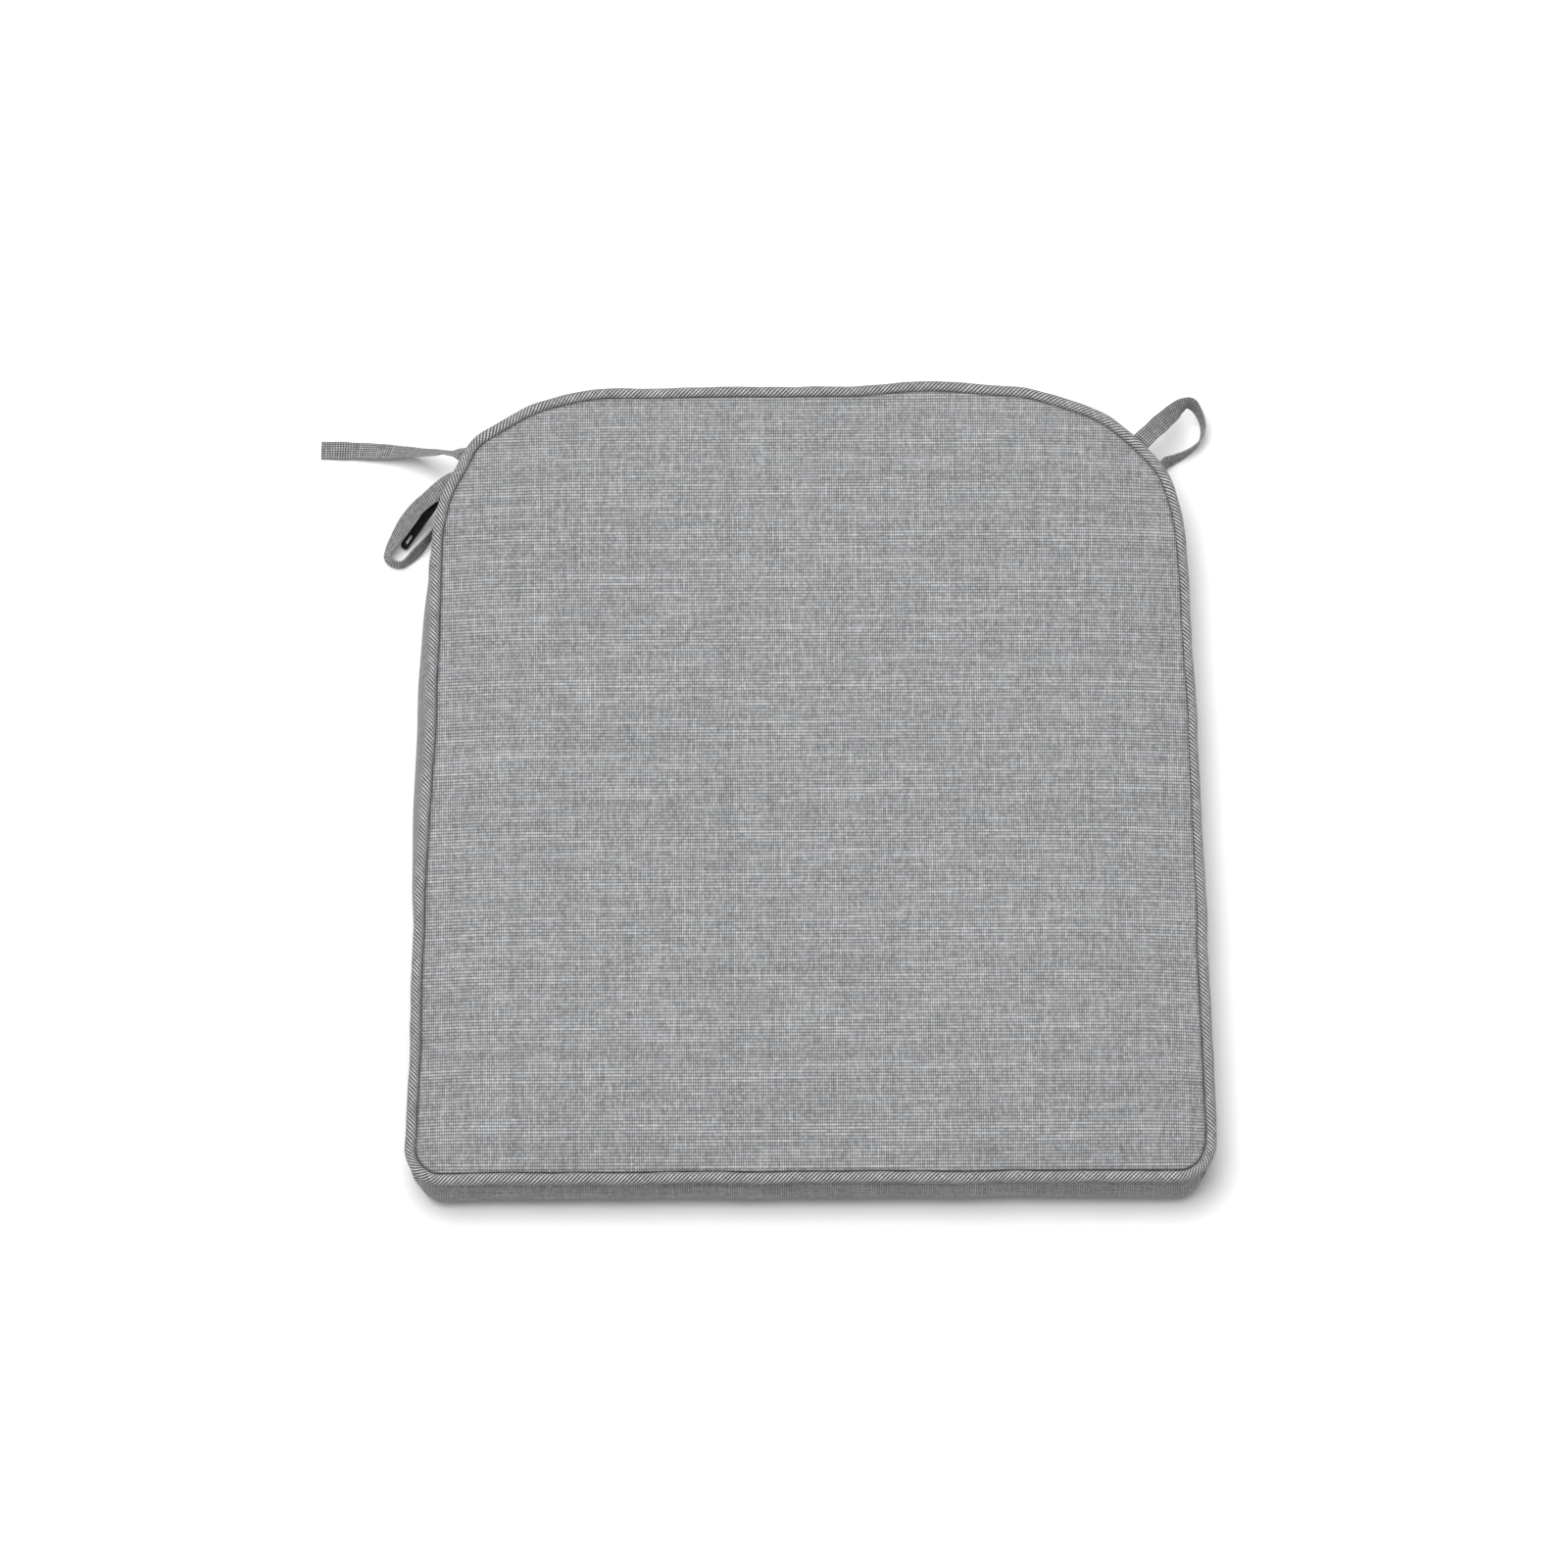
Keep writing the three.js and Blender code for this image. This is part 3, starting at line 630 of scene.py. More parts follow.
def outline(fine=1):
    """Stations [x, y, nx, ny] on the outer edge of the piping, and the distance to each and back to the
    first. fine multiplies their number."""
    fx = HALF_WIDTH - FRONT_RADIUS
    fy = -DEPTH / 2 + FRONT_RADIUS
    rx, ry = REAR_CENTRE_X, DEPTH / 2 - REAR_RADIUS

    def arc(cx, cy, radius, start, end, steps):
        return arc_run(cx, cy, radius, start, end, steps * fine)

    def at(cx, cy, radius, angle):
        return arc_run(cx, cy, radius, angle, angle, 1)[0]

    def bow(a, b, steps):
        return bow_run(a, b, steps * fine)

    runs = [
        arc(-fx, fy, FRONT_RADIUS, 225, 270, CORNER_STEPS),
        bow(at(-fx, fy, FRONT_RADIUS, 270), at(fx, fy, FRONT_RADIUS, 270), FRONT_STEPS),
        arc(fx, fy, FRONT_RADIUS, 270, 315, CORNER_STEPS),
        arc(fx, fy, FRONT_RADIUS, 315, 360 + FRONT_TAPER, CORNER_STEPS),
        bow(at(fx, fy, FRONT_RADIUS, FRONT_TAPER), at(rx, ry, REAR_RADIUS, REAR_TAPER), SIDE_STEPS),
        arc(rx, ry, REAR_RADIUS, REAR_TAPER, ZIP_START, ZIP_END_STEPS),
        arc(rx, ry, REAR_RADIUS, ZIP_START, 45, ZIP_ARC_STEPS),
        arc(rx, ry, REAR_RADIUS, 45, 90, ZIP_END_STEPS + ZIP_ARC_STEPS),
        bow(at(rx, ry, REAR_RADIUS, 90), at(-rx, ry, REAR_RADIUS, 90), REAR_STEPS),
        arc(-rx, ry, REAR_RADIUS, 90, 135, ZIP_END_STEPS + ZIP_ARC_STEPS),
        arc(-rx, ry, REAR_RADIUS, 135, 180 - ZIP_START, ZIP_ARC_STEPS),
        arc(-rx, ry, REAR_RADIUS, 180 - ZIP_START, 180 - REAR_TAPER, ZIP_END_STEPS),
        bow(
            at(-rx, ry, REAR_RADIUS, 180 - REAR_TAPER),
            at(-fx, fy, FRONT_RADIUS, 180 - FRONT_TAPER),
            SIDE_STEPS,
        ),
        arc(-fx, fy, FRONT_RADIUS, 180 - FRONT_TAPER, 225, CORNER_STEPS),
    ]
    stations = np.vstack(runs)
    return stations, lengths_along(np.vstack([stations, stations[:1]])[:, :2])


# Where the sewn edge runs a little full or slack: [x, y, reach, top, bottom], outward positive.
fullness = [
    [-221, 60, 120, -3.8, 1.0],   # the left side leans out at the bottom
    [-226, -150, 50, -1.4, -2.5],
    [224, -40, 130, 0.0, -3.5],   # the right side tucks under
    [72, 231, 32, 2.6, 1.5],
    [-138, 229, 26, -1.4, 0.0],
    [148, 226, 30, -2.2, 0.0],
    [-189, 199, 12, 3.0, 0.0],    # pulled up where the left ties are sewn in
    [204, 179, 16, 2.4, 0.0],
    [-120, -231, 110, -0.6, -4.2],  # the front seam is tucked back under the boxing
    [120, -231, 110, -0.2, -4.2],
    [0, -231, 60, -0.3, -1.0],
]


# The small unevenness of a hand-fed seam: [waves round the pad, millimetres, start].
seam_waves = [[17, 0.22, 1.3], [29, 0.16, 0.4], [43, 0.1, 2.2], [71, 0.05, 5.1]]


def waver(distance, phase):
    """The seam's unevenness at each station, in millimetres."""
    turn = 2 * math.pi * distance[:-1] / distance[-1]
    return sum(size * np.sin(count * turn + start * phase) for count, size, start in seam_waves)


def drift(stations, distance, height):
    """How far the edge is from its nominal outline at a height. The upper boxing keeps near the top
    seam, and the zip's slot keeps to the outline."""
    share = (height - PIPING_BOTTOM) / (PIPING_TOP - PIPING_BOTTOM)
    low = np.zeros(len(stations))
    high = np.zeros(len(stations))
    for x, y, reach, top, bottom in fullness:
        near = np.exp(-((stations[:, 0] - x) ** 2 + (stations[:, 1] - y) ** 2) / reach**2)
        high += top * near
        low += bottom * near
    low += waver(distance, 1.7)
    high += waver(distance, 1.0)
    tucked = np.where(low < high, (1 - share) ** 3, 1 - share)
    zipped = np.clip((stations[:, 1] - 120) / 30, 0, 1) * math.exp(-(((height - ZIP_HEIGHT) / 9) ** 4))
    return (high + (low - high) * tucked) * (1 - zipped)


def edge_row(stations, distance, out, up, follow=None):
    """A row of points round the pad, out from the nominal edge and up from the floor, each one number
    or one for each station. It drifts as the height in follow does, or as its own."""
    shift = drift(stations, distance, up if follow is None else follow)
    place = stations[:, :2] + stations[:, 2:] * (out + shift)[:, None]
    return np.column_stack([place, np.broadcast_to(up, len(stations))])


def edge_rows(section):
    """A row of points round the pad for each [out, up] of a section, and the distance to each station."""
    stations, distance = outline()
    return np.array([edge_row(stations, distance, out, up) for out, up in section]), distance


def rolled_over(stations):
    """How far the top panel rolls over the piping: 1 along the right side and 0 elsewhere."""
    return np.exp(-(((stations[:, 1] - 40) / 130) ** 4)) * (stations[:, 0] > 150)


# ---- cover

BOXING_FACE = -3.7
SLOT_LOW, SLOT_HIGH = 21.5, 28.5
SEAM_TUCK = 0.15
CLOTH_THICKNESS = 0.7
CROWN_RISE = 2.0
CROWN_POWER = 2.6
SWELL_LIMIT = 3.2
SWELL_FRAMES = 20

# How much painted shade darkens the cloth on a seam's own row and on the next two.
PAINTED_SEAM_SHADES = (0.75, 0.6, 0.12)

# [out, up] from the top seam to the top panel, from the bottom panel to the bottom seam, and up the
# boxing between the two seams. The top margin starts from its seam, and the others from the edge.
top_margin = [[-0.4, 1.0], [-1.1, 1.8], [-2.4, 2.5], [-4.6, 3.05], [-8.5, 3.45], [-14, 3.7]]
bottom_margin = [[-19, 0.0], [-13, 0.0], [-9.6, 0.5], [-7.6, 1.4], [-6.6, 2.4], [-6.1, 3.6]]
boxing_rows = [
    [-5.6, 5.6], [-4.4, 7.4], [BOXING_FACE, 9.0], [BOXING_FACE, 13.0], [BOXING_FACE, 17.2],
    [BOXING_FACE, SLOT_LOW], [BOXING_FACE, 25.0], [BOXING_FACE, SLOT_HIGH], [BOXING_FACE, 32.5],
    [BOXING_FACE, 36.5], [BOXING_FACE, 40.0], [-3.9, 42.2], [-4.7, 43.4], [-5.6, 44.5],
]

# How far the boxing sags out over the bottom seam at the front, [height, out], and the left side's
# share of it.
LEFT_BELLY = 0.8
belly = [[4, 0], [7, 5.8], [10, 7.8], [14, 7.8], [21, 6.0], [30, 3.4], [38, 1.4], [44, 0]]


def belly_share(stations):
    """How much of the belly each station has: all of it at the front, and most along the left side."""
    front = np.clip((-stations[:, 3] - 0.5) * 2, 0, 1)
    y = stations[:, 1]
    left = (stations[:, 0] < -150) * np.exp(-(((y - 20) / 130) ** 4)) * (1 - np.clip((y - 135) / 20, 0, 1))
    return front + LEFT_BELLY * left


def cover_rings():
    """Rows of points from inside the bottom seam, up the boxing, to inside the top seam, and the
    numbers of the two seam rows."""
    stations, distance = outline()
    share = belly_share(stations)
    belly_heights, belly_outs = zip(*belly)
    rows = []
    for out, up in bottom_margin:
        rows.append(edge_row(stations, distance, out, up, PIPING_BOTTOM))
    for out, up in boxing_rows:
        sag = share * np.interp(up, belly_heights, belly_outs)
        rows.append(edge_row(stations, distance, out + sag, up))
    rolled = rolled_over(stations)
    roll = np.radians(ROLL_INSIDE - ROLL_OVER * rolled)
    seam_out = -PIPING_RADIUS + (PIPING_RADIUS - SEAM_TUCK) * np.cos(roll)
    seam_up = PIPING_TOP + (PIPING_RADIUS - SEAM_TUCK) * np.sin(roll) - ROLL_DROP * rolled
    rows.append(edge_row(stations, distance, seam_out, seam_up, PIPING_TOP))
    for out, up in top_margin:
        risen = up * (1 - ROLL_FLATTENS * rolled)
        rows.append(edge_row(stations, distance, seam_out + out, seam_up + risen, PIPING_TOP))
    return np.array(rows), len(bottom_margin) - 1, len(bottom_margin) + len(boxing_rows)


def patch_points(ring, rise):
    """A grid of points that fills a ring of stations, crowned by rise in the middle."""
    n, m = ACROSS, ALONG
    front = ring[: n + 1]
    right = ring[n : n + m + 1]
    rear = ring[n + m : 2 * n + m + 1][::-1]
    left = np.vstack([ring[2 * n + m :], ring[:1]])[::-1]
    u = (np.arange(n + 1) / n)[:, None, None]
    v = (np.arange(m + 1) / m)[None, :, None]
    corners = (
        (1 - u) * (1 - v) * front[0] + u * (1 - v) * front[-1]
        + (1 - u) * v * rear[0] + u * v * rear[-1]
    )
    grid = (1 - v) * front[:, None] + v * rear[:, None] + (1 - u) * left[None] + u * right[None] - corners
    dome = (1 - np.abs(2 * u - 1) ** CROWN_POWER) * (1 - np.abs(2 * v - 1) ** CROWN_POWER)
    grid[:, :, 2] += rise * dome[:, :, 0]
    return grid


def patch_numbers(ring_start, inner_start):
    """Point numbers of a patch whose edge is a ring already numbered from ring_start."""
    n, m = ACROSS, ALONG
    number = np.zeros((n + 1, m + 1), int)
    number[1:-1, 1:-1] = inner_start + np.arange((n - 1) * (m - 1)).reshape(n - 1, m - 1)
    for k in range(STATIONS):
        if k <= n:
            i, j = k, 0
        elif k <= n + m:
            i, j = n, k - n
        elif k <= 2 * n + m:
            i, j = 2 * n + m - k, m
        else:
            i, j = 0, STATIONS - k
        number[i, j] = ring_start + k
    return number


def patch_faces(number, up):
    """Quads of a patch, facing up or down."""
    quads = np.stack([number[:-1, :-1], number[1:, :-1], number[1:, 1:], number[:-1, 1:]], -1)
    quads = quads.reshape(-1, 4)
    return quads if up else quads[:, ::-1]


def band_faces(first_row, last_row, stations=range(STATIONS)):
    """Quads between rows, for the stretches that start at the given stations."""
    faces = []
    for r in range(first_row, last_row):
        below = r * STATIONS
        above = below + STATIONS
        for k in stations:
            n = (k + 1) % STATIONS
            faces.append((below + k, below + n, above + n, above + k))
    return np.array(faces)


def closed_form(rows, rise):
    """The points of rows round the pad and of the patches that close them over and under, and the two
    patches' faces. The upper patch is crowned by rise."""
    last = len(rows) - 1
    start = len(rows) * STATIONS
    over = patch_points(rows[last], rise)[1:-1, 1:-1]
    under = patch_points(rows[0], 0)[1:-1, 1:-1]
    points = np.vstack([rows.reshape(-1, 3), over.reshape(-1, 3), under.reshape(-1, 3)])
    over_faces = patch_faces(patch_numbers(last * STATIONS, start), True)
    under_faces = patch_faces(patch_numbers(0, start + PATCH_INNER), False)
    return points, over_faces, under_faces


def swell(points, faces, held, limit):
    """Blows the closed cover up a little with Blender's cloth, each point within limit of where it was.
    held says which points stay put."""
    mesh = bpy.data.meshes.new("swelling")
    mesh.from_pydata(points.tolist(), [], faces.tolist())
    obj = bpy.data.objects.new("swelling", mesh)
    scene = bpy.context.scene
    scene.collection.objects.link(obj)
    group = obj.vertex_groups.new(name="held")
    group.add(np.nonzero(held)[0].tolist(), 1.0, "REPLACE")
    cloth = obj.modifiers.new("cloth", "CLOTH")
    settings = cloth.settings
    settings.quality = 6
    settings.mass = 0.15
    settings.tension_stiffness = settings.compression_stiffness = 22
    settings.shear_stiffness = 12
    settings.bending_stiffness = 1.5
    settings.use_pressure = True
    settings.uniform_pressure_force = 4
    settings.effector_weights.gravity = 0
    settings.vertex_group_mass = "held"
    cloth.collision_settings.use_collision = False
    for frame_number in range(1, SWELL_FRAMES + 1):
        scene.frame_set(frame_number)
    solved = obj.evaluated_get(bpy.context.evaluated_depsgraph_get())
    moved = np.empty(len(points) * 3, np.float32)
    solved.data.vertices.foreach_get("co", moved)
    moved = moved.reshape(-1, 3).astype(float)
    bpy.data.objects.remove(obj)
    bpy.data.meshes.remove(mesh)
    scene.frame_set(1)
    shift = moved - points
    size = np.linalg.norm(shift, axis=1)
    eased = limit * np.tanh(size / limit)
    return points + shift * (eased / np.maximum(size, 1e-9))[:, None]


def cover_piece(name, points, faces, corner_uv, material, shade, node):
    """One panel of the cover, cut from the swollen form. shade is painted shade that darkens it down in
    the seams.
    """
    used, renumbered = np.unique(faces, return_inverse=True)
    obj = add_mesh(name, points[used], renumbered.reshape(faces.shape), corner_uv, material)
    obj.data.attributes.new("painted_seam_shade", "FLOAT", "POINT").data.foreach_set("value", shade[used])
    thicken(obj, CLOTH_THICKNESS, subdivided=True)
    attach(obj, node)


def held_points(count, bottom_seam, top_seam, slot_low, slot_high):
    """Which of the cover's points stay put: the seams, the zip's slot and the underside."""
    held = np.zeros(count, bool)
    held[: (bottom_seam + 2) * STATIONS] = True
    held[-PATCH_INNER:] = True
    held[(top_seam - 1) * STATIONS : (top_seam + 2) * STATIONS] = True
    for r in range(slot_low, slot_high + 1):
        held[r * STATIONS + ZIP_RIGHT : r * STATIONS + ZIP_LEFT + 1] = True
    return held


def painted_seam_shading(count, bottom_seam, top_seam):
    """How much painted shade darkens each point down in its seam, for the panels and for the boxing."""
    panels = np.zeros(count, np.float32)
    sides = np.zeros(count, np.float32)
    for seam, inward in ((top_seam, 1), (bottom_seam, -1)):
        for step, depth in enumerate(PAINTED_SEAM_SHADES):
            for shade, row in ((panels, seam + inward * step), (sides, seam - inward * step)):
                shade[row * STATIONS : (row + 1) * STATIONS] = depth
    return panels, sides


def build_cover():
    """One closed form, blown up a little and then cut into the cover's five panels."""
    rows, bottom_seam, top_seam = cover_rings()
    points, over_faces, under_faces = closed_form(rows, CROWN_RISE)
    points = points * MM
    top_faces = np.vstack([band_faces(top_seam, len(rows) - 1), over_faces])
    bottom_faces = np.vstack([band_faces(0, bottom_seam), under_faces])
    slot_low = len(bottom_margin) + boxing_rows.index([BOXING_FACE, SLOT_LOW])
    slot_high = len(bottom_margin) + boxing_rows.index([BOXING_FACE, SLOT_HIGH])
    everything = np.vstack([band_faces(bottom_seam, top_seam), top_faces, bottom_faces])
    held = held_points(len(points), bottom_seam, top_seam, slot_low, slot_high)
    points = swell(points, everything, held, SWELL_LIMIT * MM)
    distance = outline()[1]
    mapped = points / MM

    def flat_uv(faces):
        """The place in plan, so that the weave runs straight over the panel."""
        return mapped[faces][:, :, :2]

    def side_uv(faces):
        """Distance round the pad and height, so that the weave follows the boxing."""
        station = faces % STATIONS
        wrap = (station.max(1) - station.min(1) > 1)[:, None] & (station == 0)
        return np.stack([np.where(wrap, distance[-1], distance[station]), mapped[faces][:, :, 2]], -1)

    panel_painted_shade, side_painted_shade = painted_seam_shading(len(points), bottom_seam, top_seam)
    for name, faces, material, node in (
        ("cover_top", top_faces, cover_top_cloth, "top_panel"),
        ("cover_bottom", bottom_faces, cover_under_cloth, "bottom_panel"),
    ):
        cover_piece(name, points, faces, flat_uv(faces), material, panel_painted_shade, node)
    zip_stations = range(ZIP_RIGHT, ZIP_LEFT)
    other_stations = [k for k in range(STATIONS) if k not in zip_stations]
    for name, low, high, span, node in (
        ("cover_boxing", bottom_seam, top_seam, other_stations, "boxing_strip"),
        ("cover_placket_lower", bottom_seam, slot_low, zip_stations, "zip_placket_lower"),
        ("cover_placket_upper", slot_high, top_seam, zip_stations, "zip_placket_upper"),
    ):
        faces = band_faces(low, high, span)
        cover_piece(name, points, faces, side_uv(faces), shaded_side_cloth, side_painted_shade, node)


build_cover()

# ---- piping

FILLER_RADIUS = 2.0


def build_tube(name, height, radius, sides, material, node, seed):
    """A round piece that is the piping or runs inside it, a little uneven."""
    stations, distance = outline(3)
    turn = 2 * math.pi * distance[:-1] / distance[-1]
    fat = radius * (1 + 0.025 * np.sin(61 * turn + seed) + 0.02 * np.sin(97 * turn + 2 * seed))
    lower = ROLL_DROP * rolled_over(stations) if height == PIPING_TOP else 0
    middle = height + 0.15 * np.sin(23 * turn + seed) - lower
    angles = 2 * math.pi * np.arange(sides) / sides
    out = -PIPING_RADIUS + drift(stations, distance, height)[:, None] + np.outer(fat, np.cos(angles))
    up = middle[:, None] + np.outer(fat, np.sin(angles))
    plan = stations[:, None, :2] + stations[:, None, 2:] * out[:, :, None]
    rings = np.concatenate([plan, up[:, :, None]], 2)
    around = radius * 2 * math.pi * np.arange(sides + 1) / sides
    points, faces, uvs = sweep(rings, distance, around, closed=True, capped=False)
    obj = outward(add_mesh(name, points * MM, faces, uvs, material))
    attach(obj, node)


for level, height, seed in (("top", PIPING_TOP, 0.7), ("bottom", PIPING_BOTTOM, 2.9)):
    for name, radius, sides, material, slot, node in (
        ("piping_", PIPING_RADIUS, 16, piping_cloth, "piping_cloth", "_piping_cover"),
        ("filler_", FILLER_RADIUS, 8, filler_fibre, "filler_cord", "_piping_cord"),
    ):
        build_tube(name + level, height, radius, sides, material, level + node, seed)

# ---- filling

# Sections as [out, up], from the underside up.
foam_section = [
    [-14.4, 6.2], [-13.2, 6.6], [-12.9, 8.0], [-12.9, 25.0], [-12.9, 41.8], [-13.2, 43.2], [-14.4, 43.6],
]
over_section = [[-15.2, 43.9], [-14.7, 45.0], [-14.7, 47.2], [-15.4, 48.5], [-18.0, 48.9]]
under_section = [[-20.0, 1.1], [-18.2, 2.0], [-17.8, 3.6], [-18.4, 5.2], [-19.6, 5.9]]

# The closed section of the band of wadding between the foam's edge and the boxing.
edge_section = [
    [-12.5, 8.8], [-11.5, 8.0], [-9.0, 8.0], [-8.0, 9.2], [-7.9, 25.0],
    [-8.0, 40.8], [-9.0, 42.0], [-11.5, 42.0], [-12.5, 41.2], [-12.6, 25.0],
]
EDGE_SECTION_STEP = 8.0


def filled_form(name, section, rise, material, node):
    """A closed form under the cover, whose upper face is crowned by rise."""
    rows, _ = edge_rows(section)
    points, over_faces, under_faces = closed_form(rows, rise)
    faces = np.vstack([band_faces(0, len(rows) - 1), over_faces, under_faces])
    obj = add_mesh(name, points * MM, faces, points[faces][:, :, :2], material)
    attach(obj, node)


def build_wadding_edge():
    """The soft-cornered band of wadding round the foam."""
    rows, distance = edge_rows(edge_section)
    around = np.arange(len(edge_section) + 1) * EDGE_SECTION_STEP
    points, faces, uvs = sweep(rows.swapaxes(0, 1), distance, around, closed=True, capped=False)
    obj = outward(add_mesh("wadding_edge", points * MM, faces, uvs, wadding_fibre))
    attach(obj, "fibre_wrap_edge")


filled_form("foam_slab", foam_section, 0, foam_cells, "foam_core")
filled_form("wadding_top", over_section, 1.4, wadding_fibre, "fibre_wrap_top")
filled_form("wadding_bottom", under_section, 0, wadding_fibre, "fibre_wrap_bottom")
build_wadding_edge()

# ---- zip

TAPE_OUT = -4.8
TAPE_REACHES = (2.4, 3.4, 5.5, 8.0, 11.0, 15.0)
TAPE_THICKNESS = 0.55

COIL_OUT = -5.1
COIL_ASIDE = 1.2
COIL_PITCH = 1.45
COIL_MARGIN = 5.5
COIL_POINTS_PER_TURN = 8
COIL_HALF_DEPTH = 0.5
COIL_HALF_HEIGHT = 0.85
FILAMENT_RADIUS = 0.28
FILAMENT_SIDES = 5
FILAMENT_STEP = 0.35


def zip_rows(out, heights):
    """Rows of points along the zip, at a distance out from the edge, and the distance round the pad."""
    rows, distance = edge_rows([(out, up) for up in heights])
    along = slice(ZIP_RIGHT, ZIP_LEFT + 1)
    return rows[:, along], distance[along]


def build_tape(level, side):
    """One woven tape, sewn behind its placket. side is 1 above the zip and -1 below it."""
    rows, distance = zip_rows(TAPE_OUT, sorted(ZIP_HEIGHT + side * reach for reach in TAPE_REACHES))
    points = rows.reshape(-1, 3)
    faces = grid_faces(*rows.shape[:2])
    uv = np.column_stack([np.tile(distance, len(rows)), points[:, 2]])
    obj = add_mesh("sewn_tape_" + level, points * MM, faces, uv[faces], tape_cloth)
    thicken(obj, TAPE_THICKNESS)
    attach(obj, "zip_tape_" + level)


def build_coil(level, side):
    """A spiral of nylon filament along the edge of a tape: the teeth of a coil zip."""
    rows, distance = zip_rows(COIL_OUT, [ZIP_HEIGHT + side * COIL_ASIDE])
    rest = distance - distance[0]
    turns = int((rest[-1] - 2 * COIL_MARGIN) / COIL_PITCH)
    turned = np.arange(turns * COIL_POINTS_PER_TURN + 1) / COIL_POINTS_PER_TURN
    at = COIL_MARGIN + turned * COIL_PITCH
    centre = np.stack([np.interp(at, rest, rows[0][:, axis]) for axis in range(3)], 1)
    along = unit(np.gradient(centre, axis=0))
    out = np.stack([along[:, 1], -along[:, 0], 0 * along[:, 0]], 1)
    angle = 2 * math.pi * turned
    deep = out * (COIL_HALF_DEPTH * np.cos(angle))[:, None]
    tall = np.array([0, 0, 1.0]) * (COIL_HALF_HEIGHT * np.sin(angle))[:, None]
    line = centre + deep + tall
    heading = unit(np.gradient(line, axis=0))
    first = unit(np.cross(heading, along))
    second = np.cross(heading, first)
    rings = []
    for around in 2 * math.pi * np.arange(FILAMENT_SIDES) / FILAMENT_SIDES:
        rings.append(line + FILAMENT_RADIUS * (first * math.cos(around) + second * math.sin(around)))
    v = np.arange(FILAMENT_SIDES + 1) * FILAMENT_STEP
    points, faces, uvs = sweep(np.stack(rings, 1), at, v, closed=False, capped=True)
    obj = outward(add_mesh("sewn_coil_" + level, points * MM, faces, uvs, coil_nylon))
    attach(obj, "zip_coil_" + level)


for level, side in (("upper", 1), ("lower", -1)):
    build_tape(level, side)
    build_coil(level, side)

# ---- label

LABEL_LAYERS_APART = 0.5
LABEL_THICKNESS = 0.16
LABEL_LEAN = 1.6
LABEL_RIPPLE = 0.35
LABEL_RIPPLE_LENGTH = 27


def build_label():
    """A blank satin label folded in two, sewn into the bottom seam and leaning off the placket."""
    low, high = (np.array(corner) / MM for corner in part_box("care_label"))
    radius = LABEL_LAYERS_APART / 2
    rise = np.linspace(0, 1, 10)
    inner = np.column_stack([low[1] + LABEL_LEAN * rise**2, low[2] + (high[2] - radius - low[2]) * rise])
    turn = math.pi * np.arange(1, 6) / 6
    fold = inner[-1] + radius * np.column_stack([1 - np.cos(turn), np.sin(turn)])
    outer = (inner + [LABEL_LAYERS_APART, 0])[::-1]
    path = np.vstack([inner, fold, outer])
    across = np.linspace(low[0], high[0], 25)
    wave = LABEL_RIPPLE * np.sin(2 * math.pi * (across - low[0]) / LABEL_RIPPLE_LENGTH)
    points = []
    for y, z in path:
        ripple = wave * (z - low[2]) / (high[2] - low[2])
        points.append(np.column_stack([across, y + ripple, np.full(len(across), z)]))
    faces = grid_faces(len(path), len(across))
    uv = np.column_stack([np.tile(across, len(path)), np.repeat(lengths_along(path), len(across))])
    obj = add_mesh("blank_label", np.concatenate(points) * MM, faces, uv[faces], label_satin)
    thicken(obj, LABEL_THICKNESS)
    attach(obj, "care_label")


build_label()

# ---- carried-over nodes


def finish_node(name, material, edge):
    """A material for a CAD node, and its edges rounded by a bevel of edge millimetres."""
    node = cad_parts[name]
    node.data.materials.clear()
    node.data.materials.append(material)
    if edge:
        bevel = node.modifiers.new("edge", "BEVEL")
        bevel.width = edge * MM
        bevel.segments = 2
        bevel.limit_method = "ANGLE"


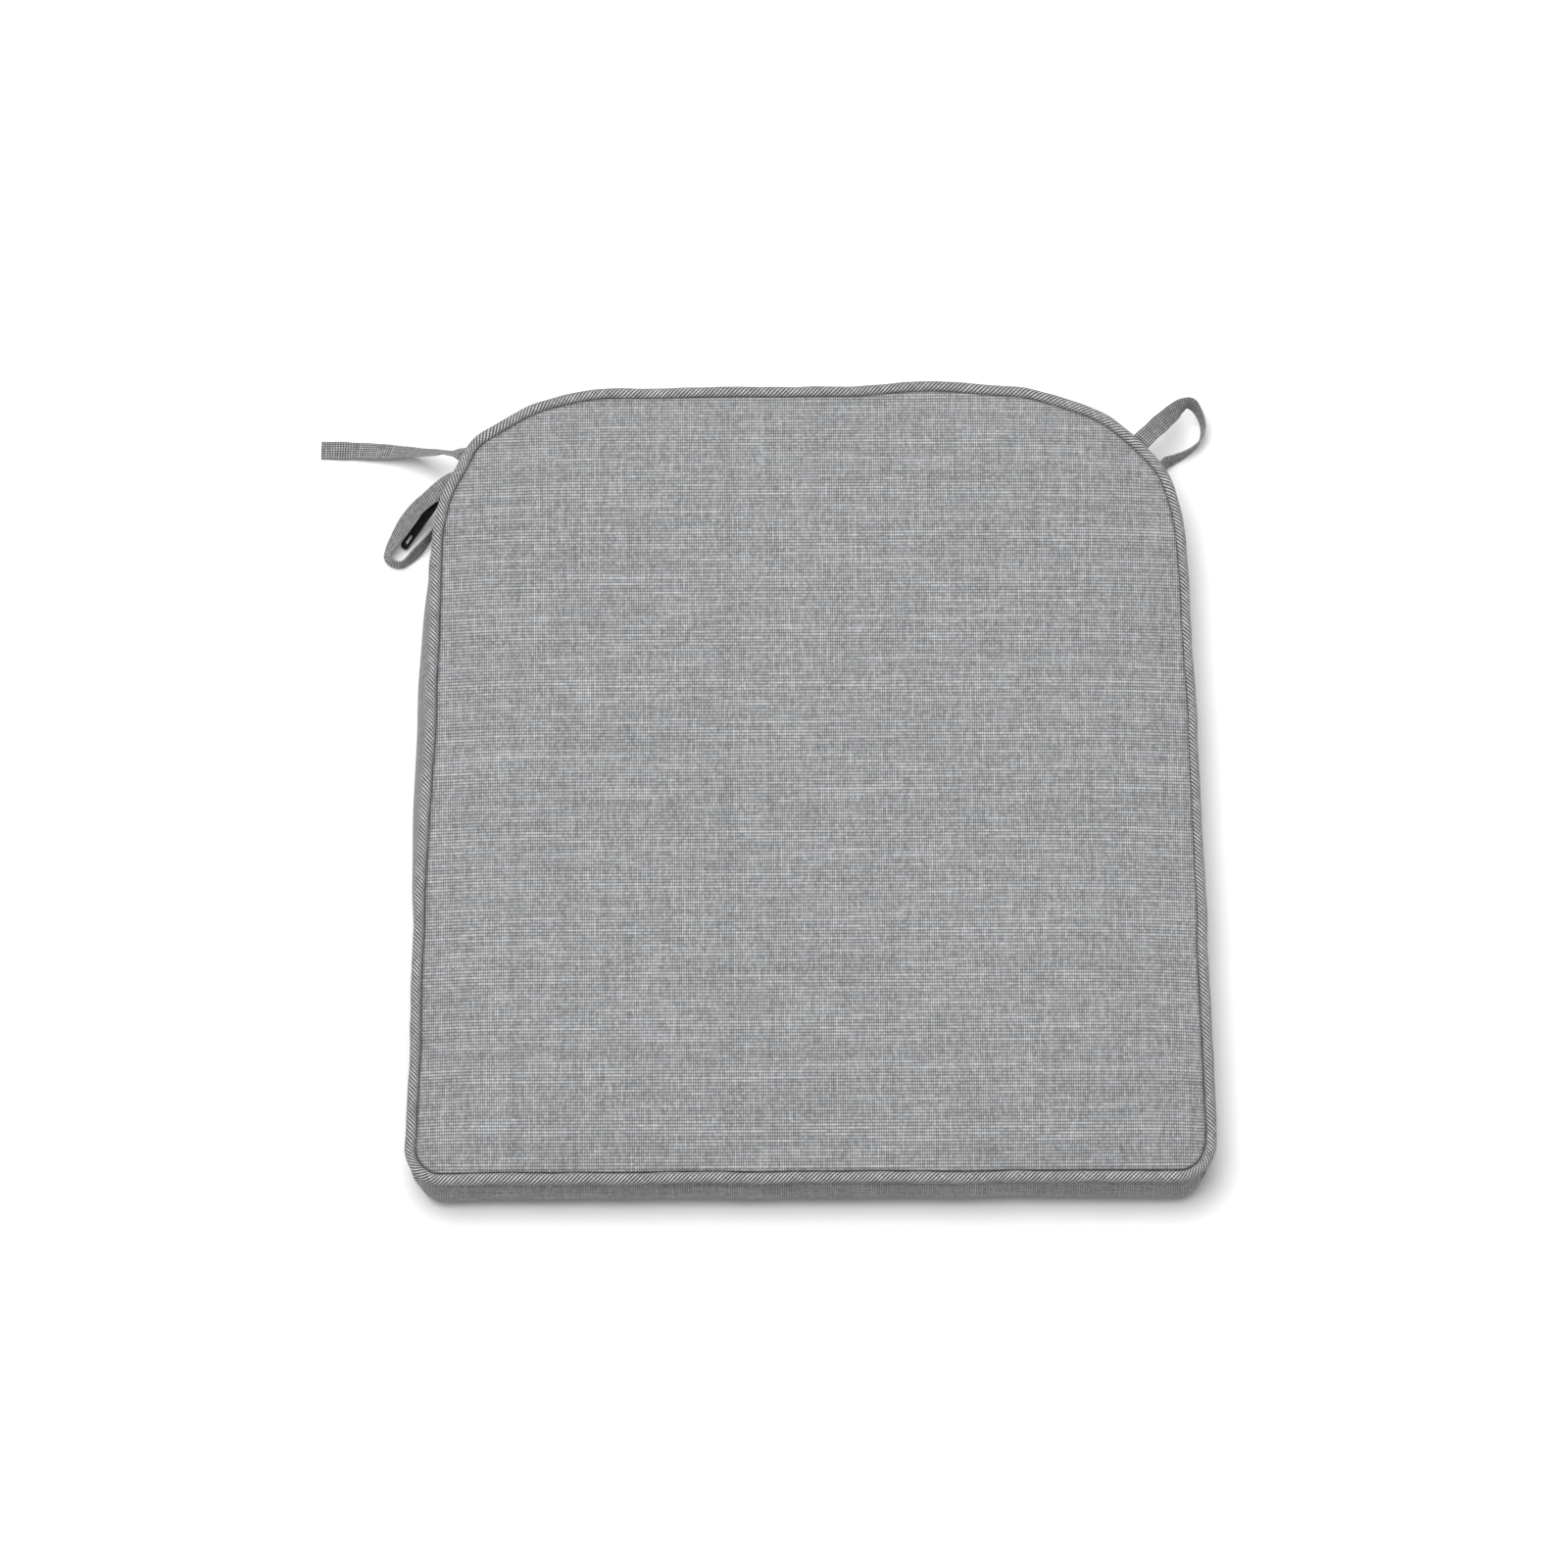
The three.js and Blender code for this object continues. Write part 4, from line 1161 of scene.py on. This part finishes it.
# CAD nodes that stay in view: the material, and the bevel in millimetres.
carried = {
    "zip_stop_left": (slider_enamel, 0.15),
    "zip_stop_right": (slider_enamel, 0.15),
    "zip_slider": (slider_enamel, 0.2),
    "zip_pull_ring": (slider_enamel, 0),
    "zip_pull": (pull_enamel, 0.15),
}
for node_name, (node_material, node_edge) in carried.items():
    finish_node(node_name, node_material, node_edge)

# ---- floor, light

FLOOR_HALF_SIZE = 12
FLOOR_LEVEL = -0.0004
FLOOR_TONE = 0.93
KEY_PLACE = (-0.4, 0.4, 3.6)
KEY_SIZE = 2.4
KEY_POWER = 150
WORLD_STRENGTH = 0.34


def add_floor():
    """A plain pale floor, a hair below the pad."""
    mesh = bpy.data.meshes.new("floor")
    corners = []
    for x, y in ((-1, -1), (1, -1), (1, 1), (-1, 1)):
        corners.append((x * FLOOR_HALF_SIZE, y * FLOOR_HALF_SIZE, FLOOR_LEVEL))
    mesh.from_pydata(corners, [], [(0, 1, 2, 3)])
    paper = Shader("floor_paper", Roughness=0.9, Specular_IOR_Level=0.1, Base_Color=grey(FLOOR_TONE))
    mesh.materials.append(paper.material)
    floor = bpy.data.objects.new("floor", mesh)
    bpy.context.scene.collection.objects.link(floor)


def add_light(name, place, size, power):
    """A round lamp that faces the pad and can't be seen itself."""
    data = bpy.data.lights.new(name, "AREA")
    data.shape = "DISK"
    data.size = size
    data.energy = power
    light = bpy.data.objects.new(name, data)
    light.location = place
    light.rotation_euler = (-Vector(place)).to_track_quat("-Z", "Y").to_euler()
    light.visible_camera = False
    bpy.context.scene.collection.objects.link(light)


def add_world(strength):
    """Even white light from all round."""
    world = bpy.data.worlds.new("studio")
    world.use_nodes = True
    background = world.node_tree.nodes["Background"]
    background.inputs["Color"].default_value = grey(1)
    background.inputs["Strength"].default_value = strength
    bpy.context.scene.world = world


add_floor()
add_light("key", KEY_PLACE, KEY_SIZE, KEY_POWER)
add_world(WORLD_STRENGTH)
bpy.context.scene.view_settings.view_transform = "Standard"
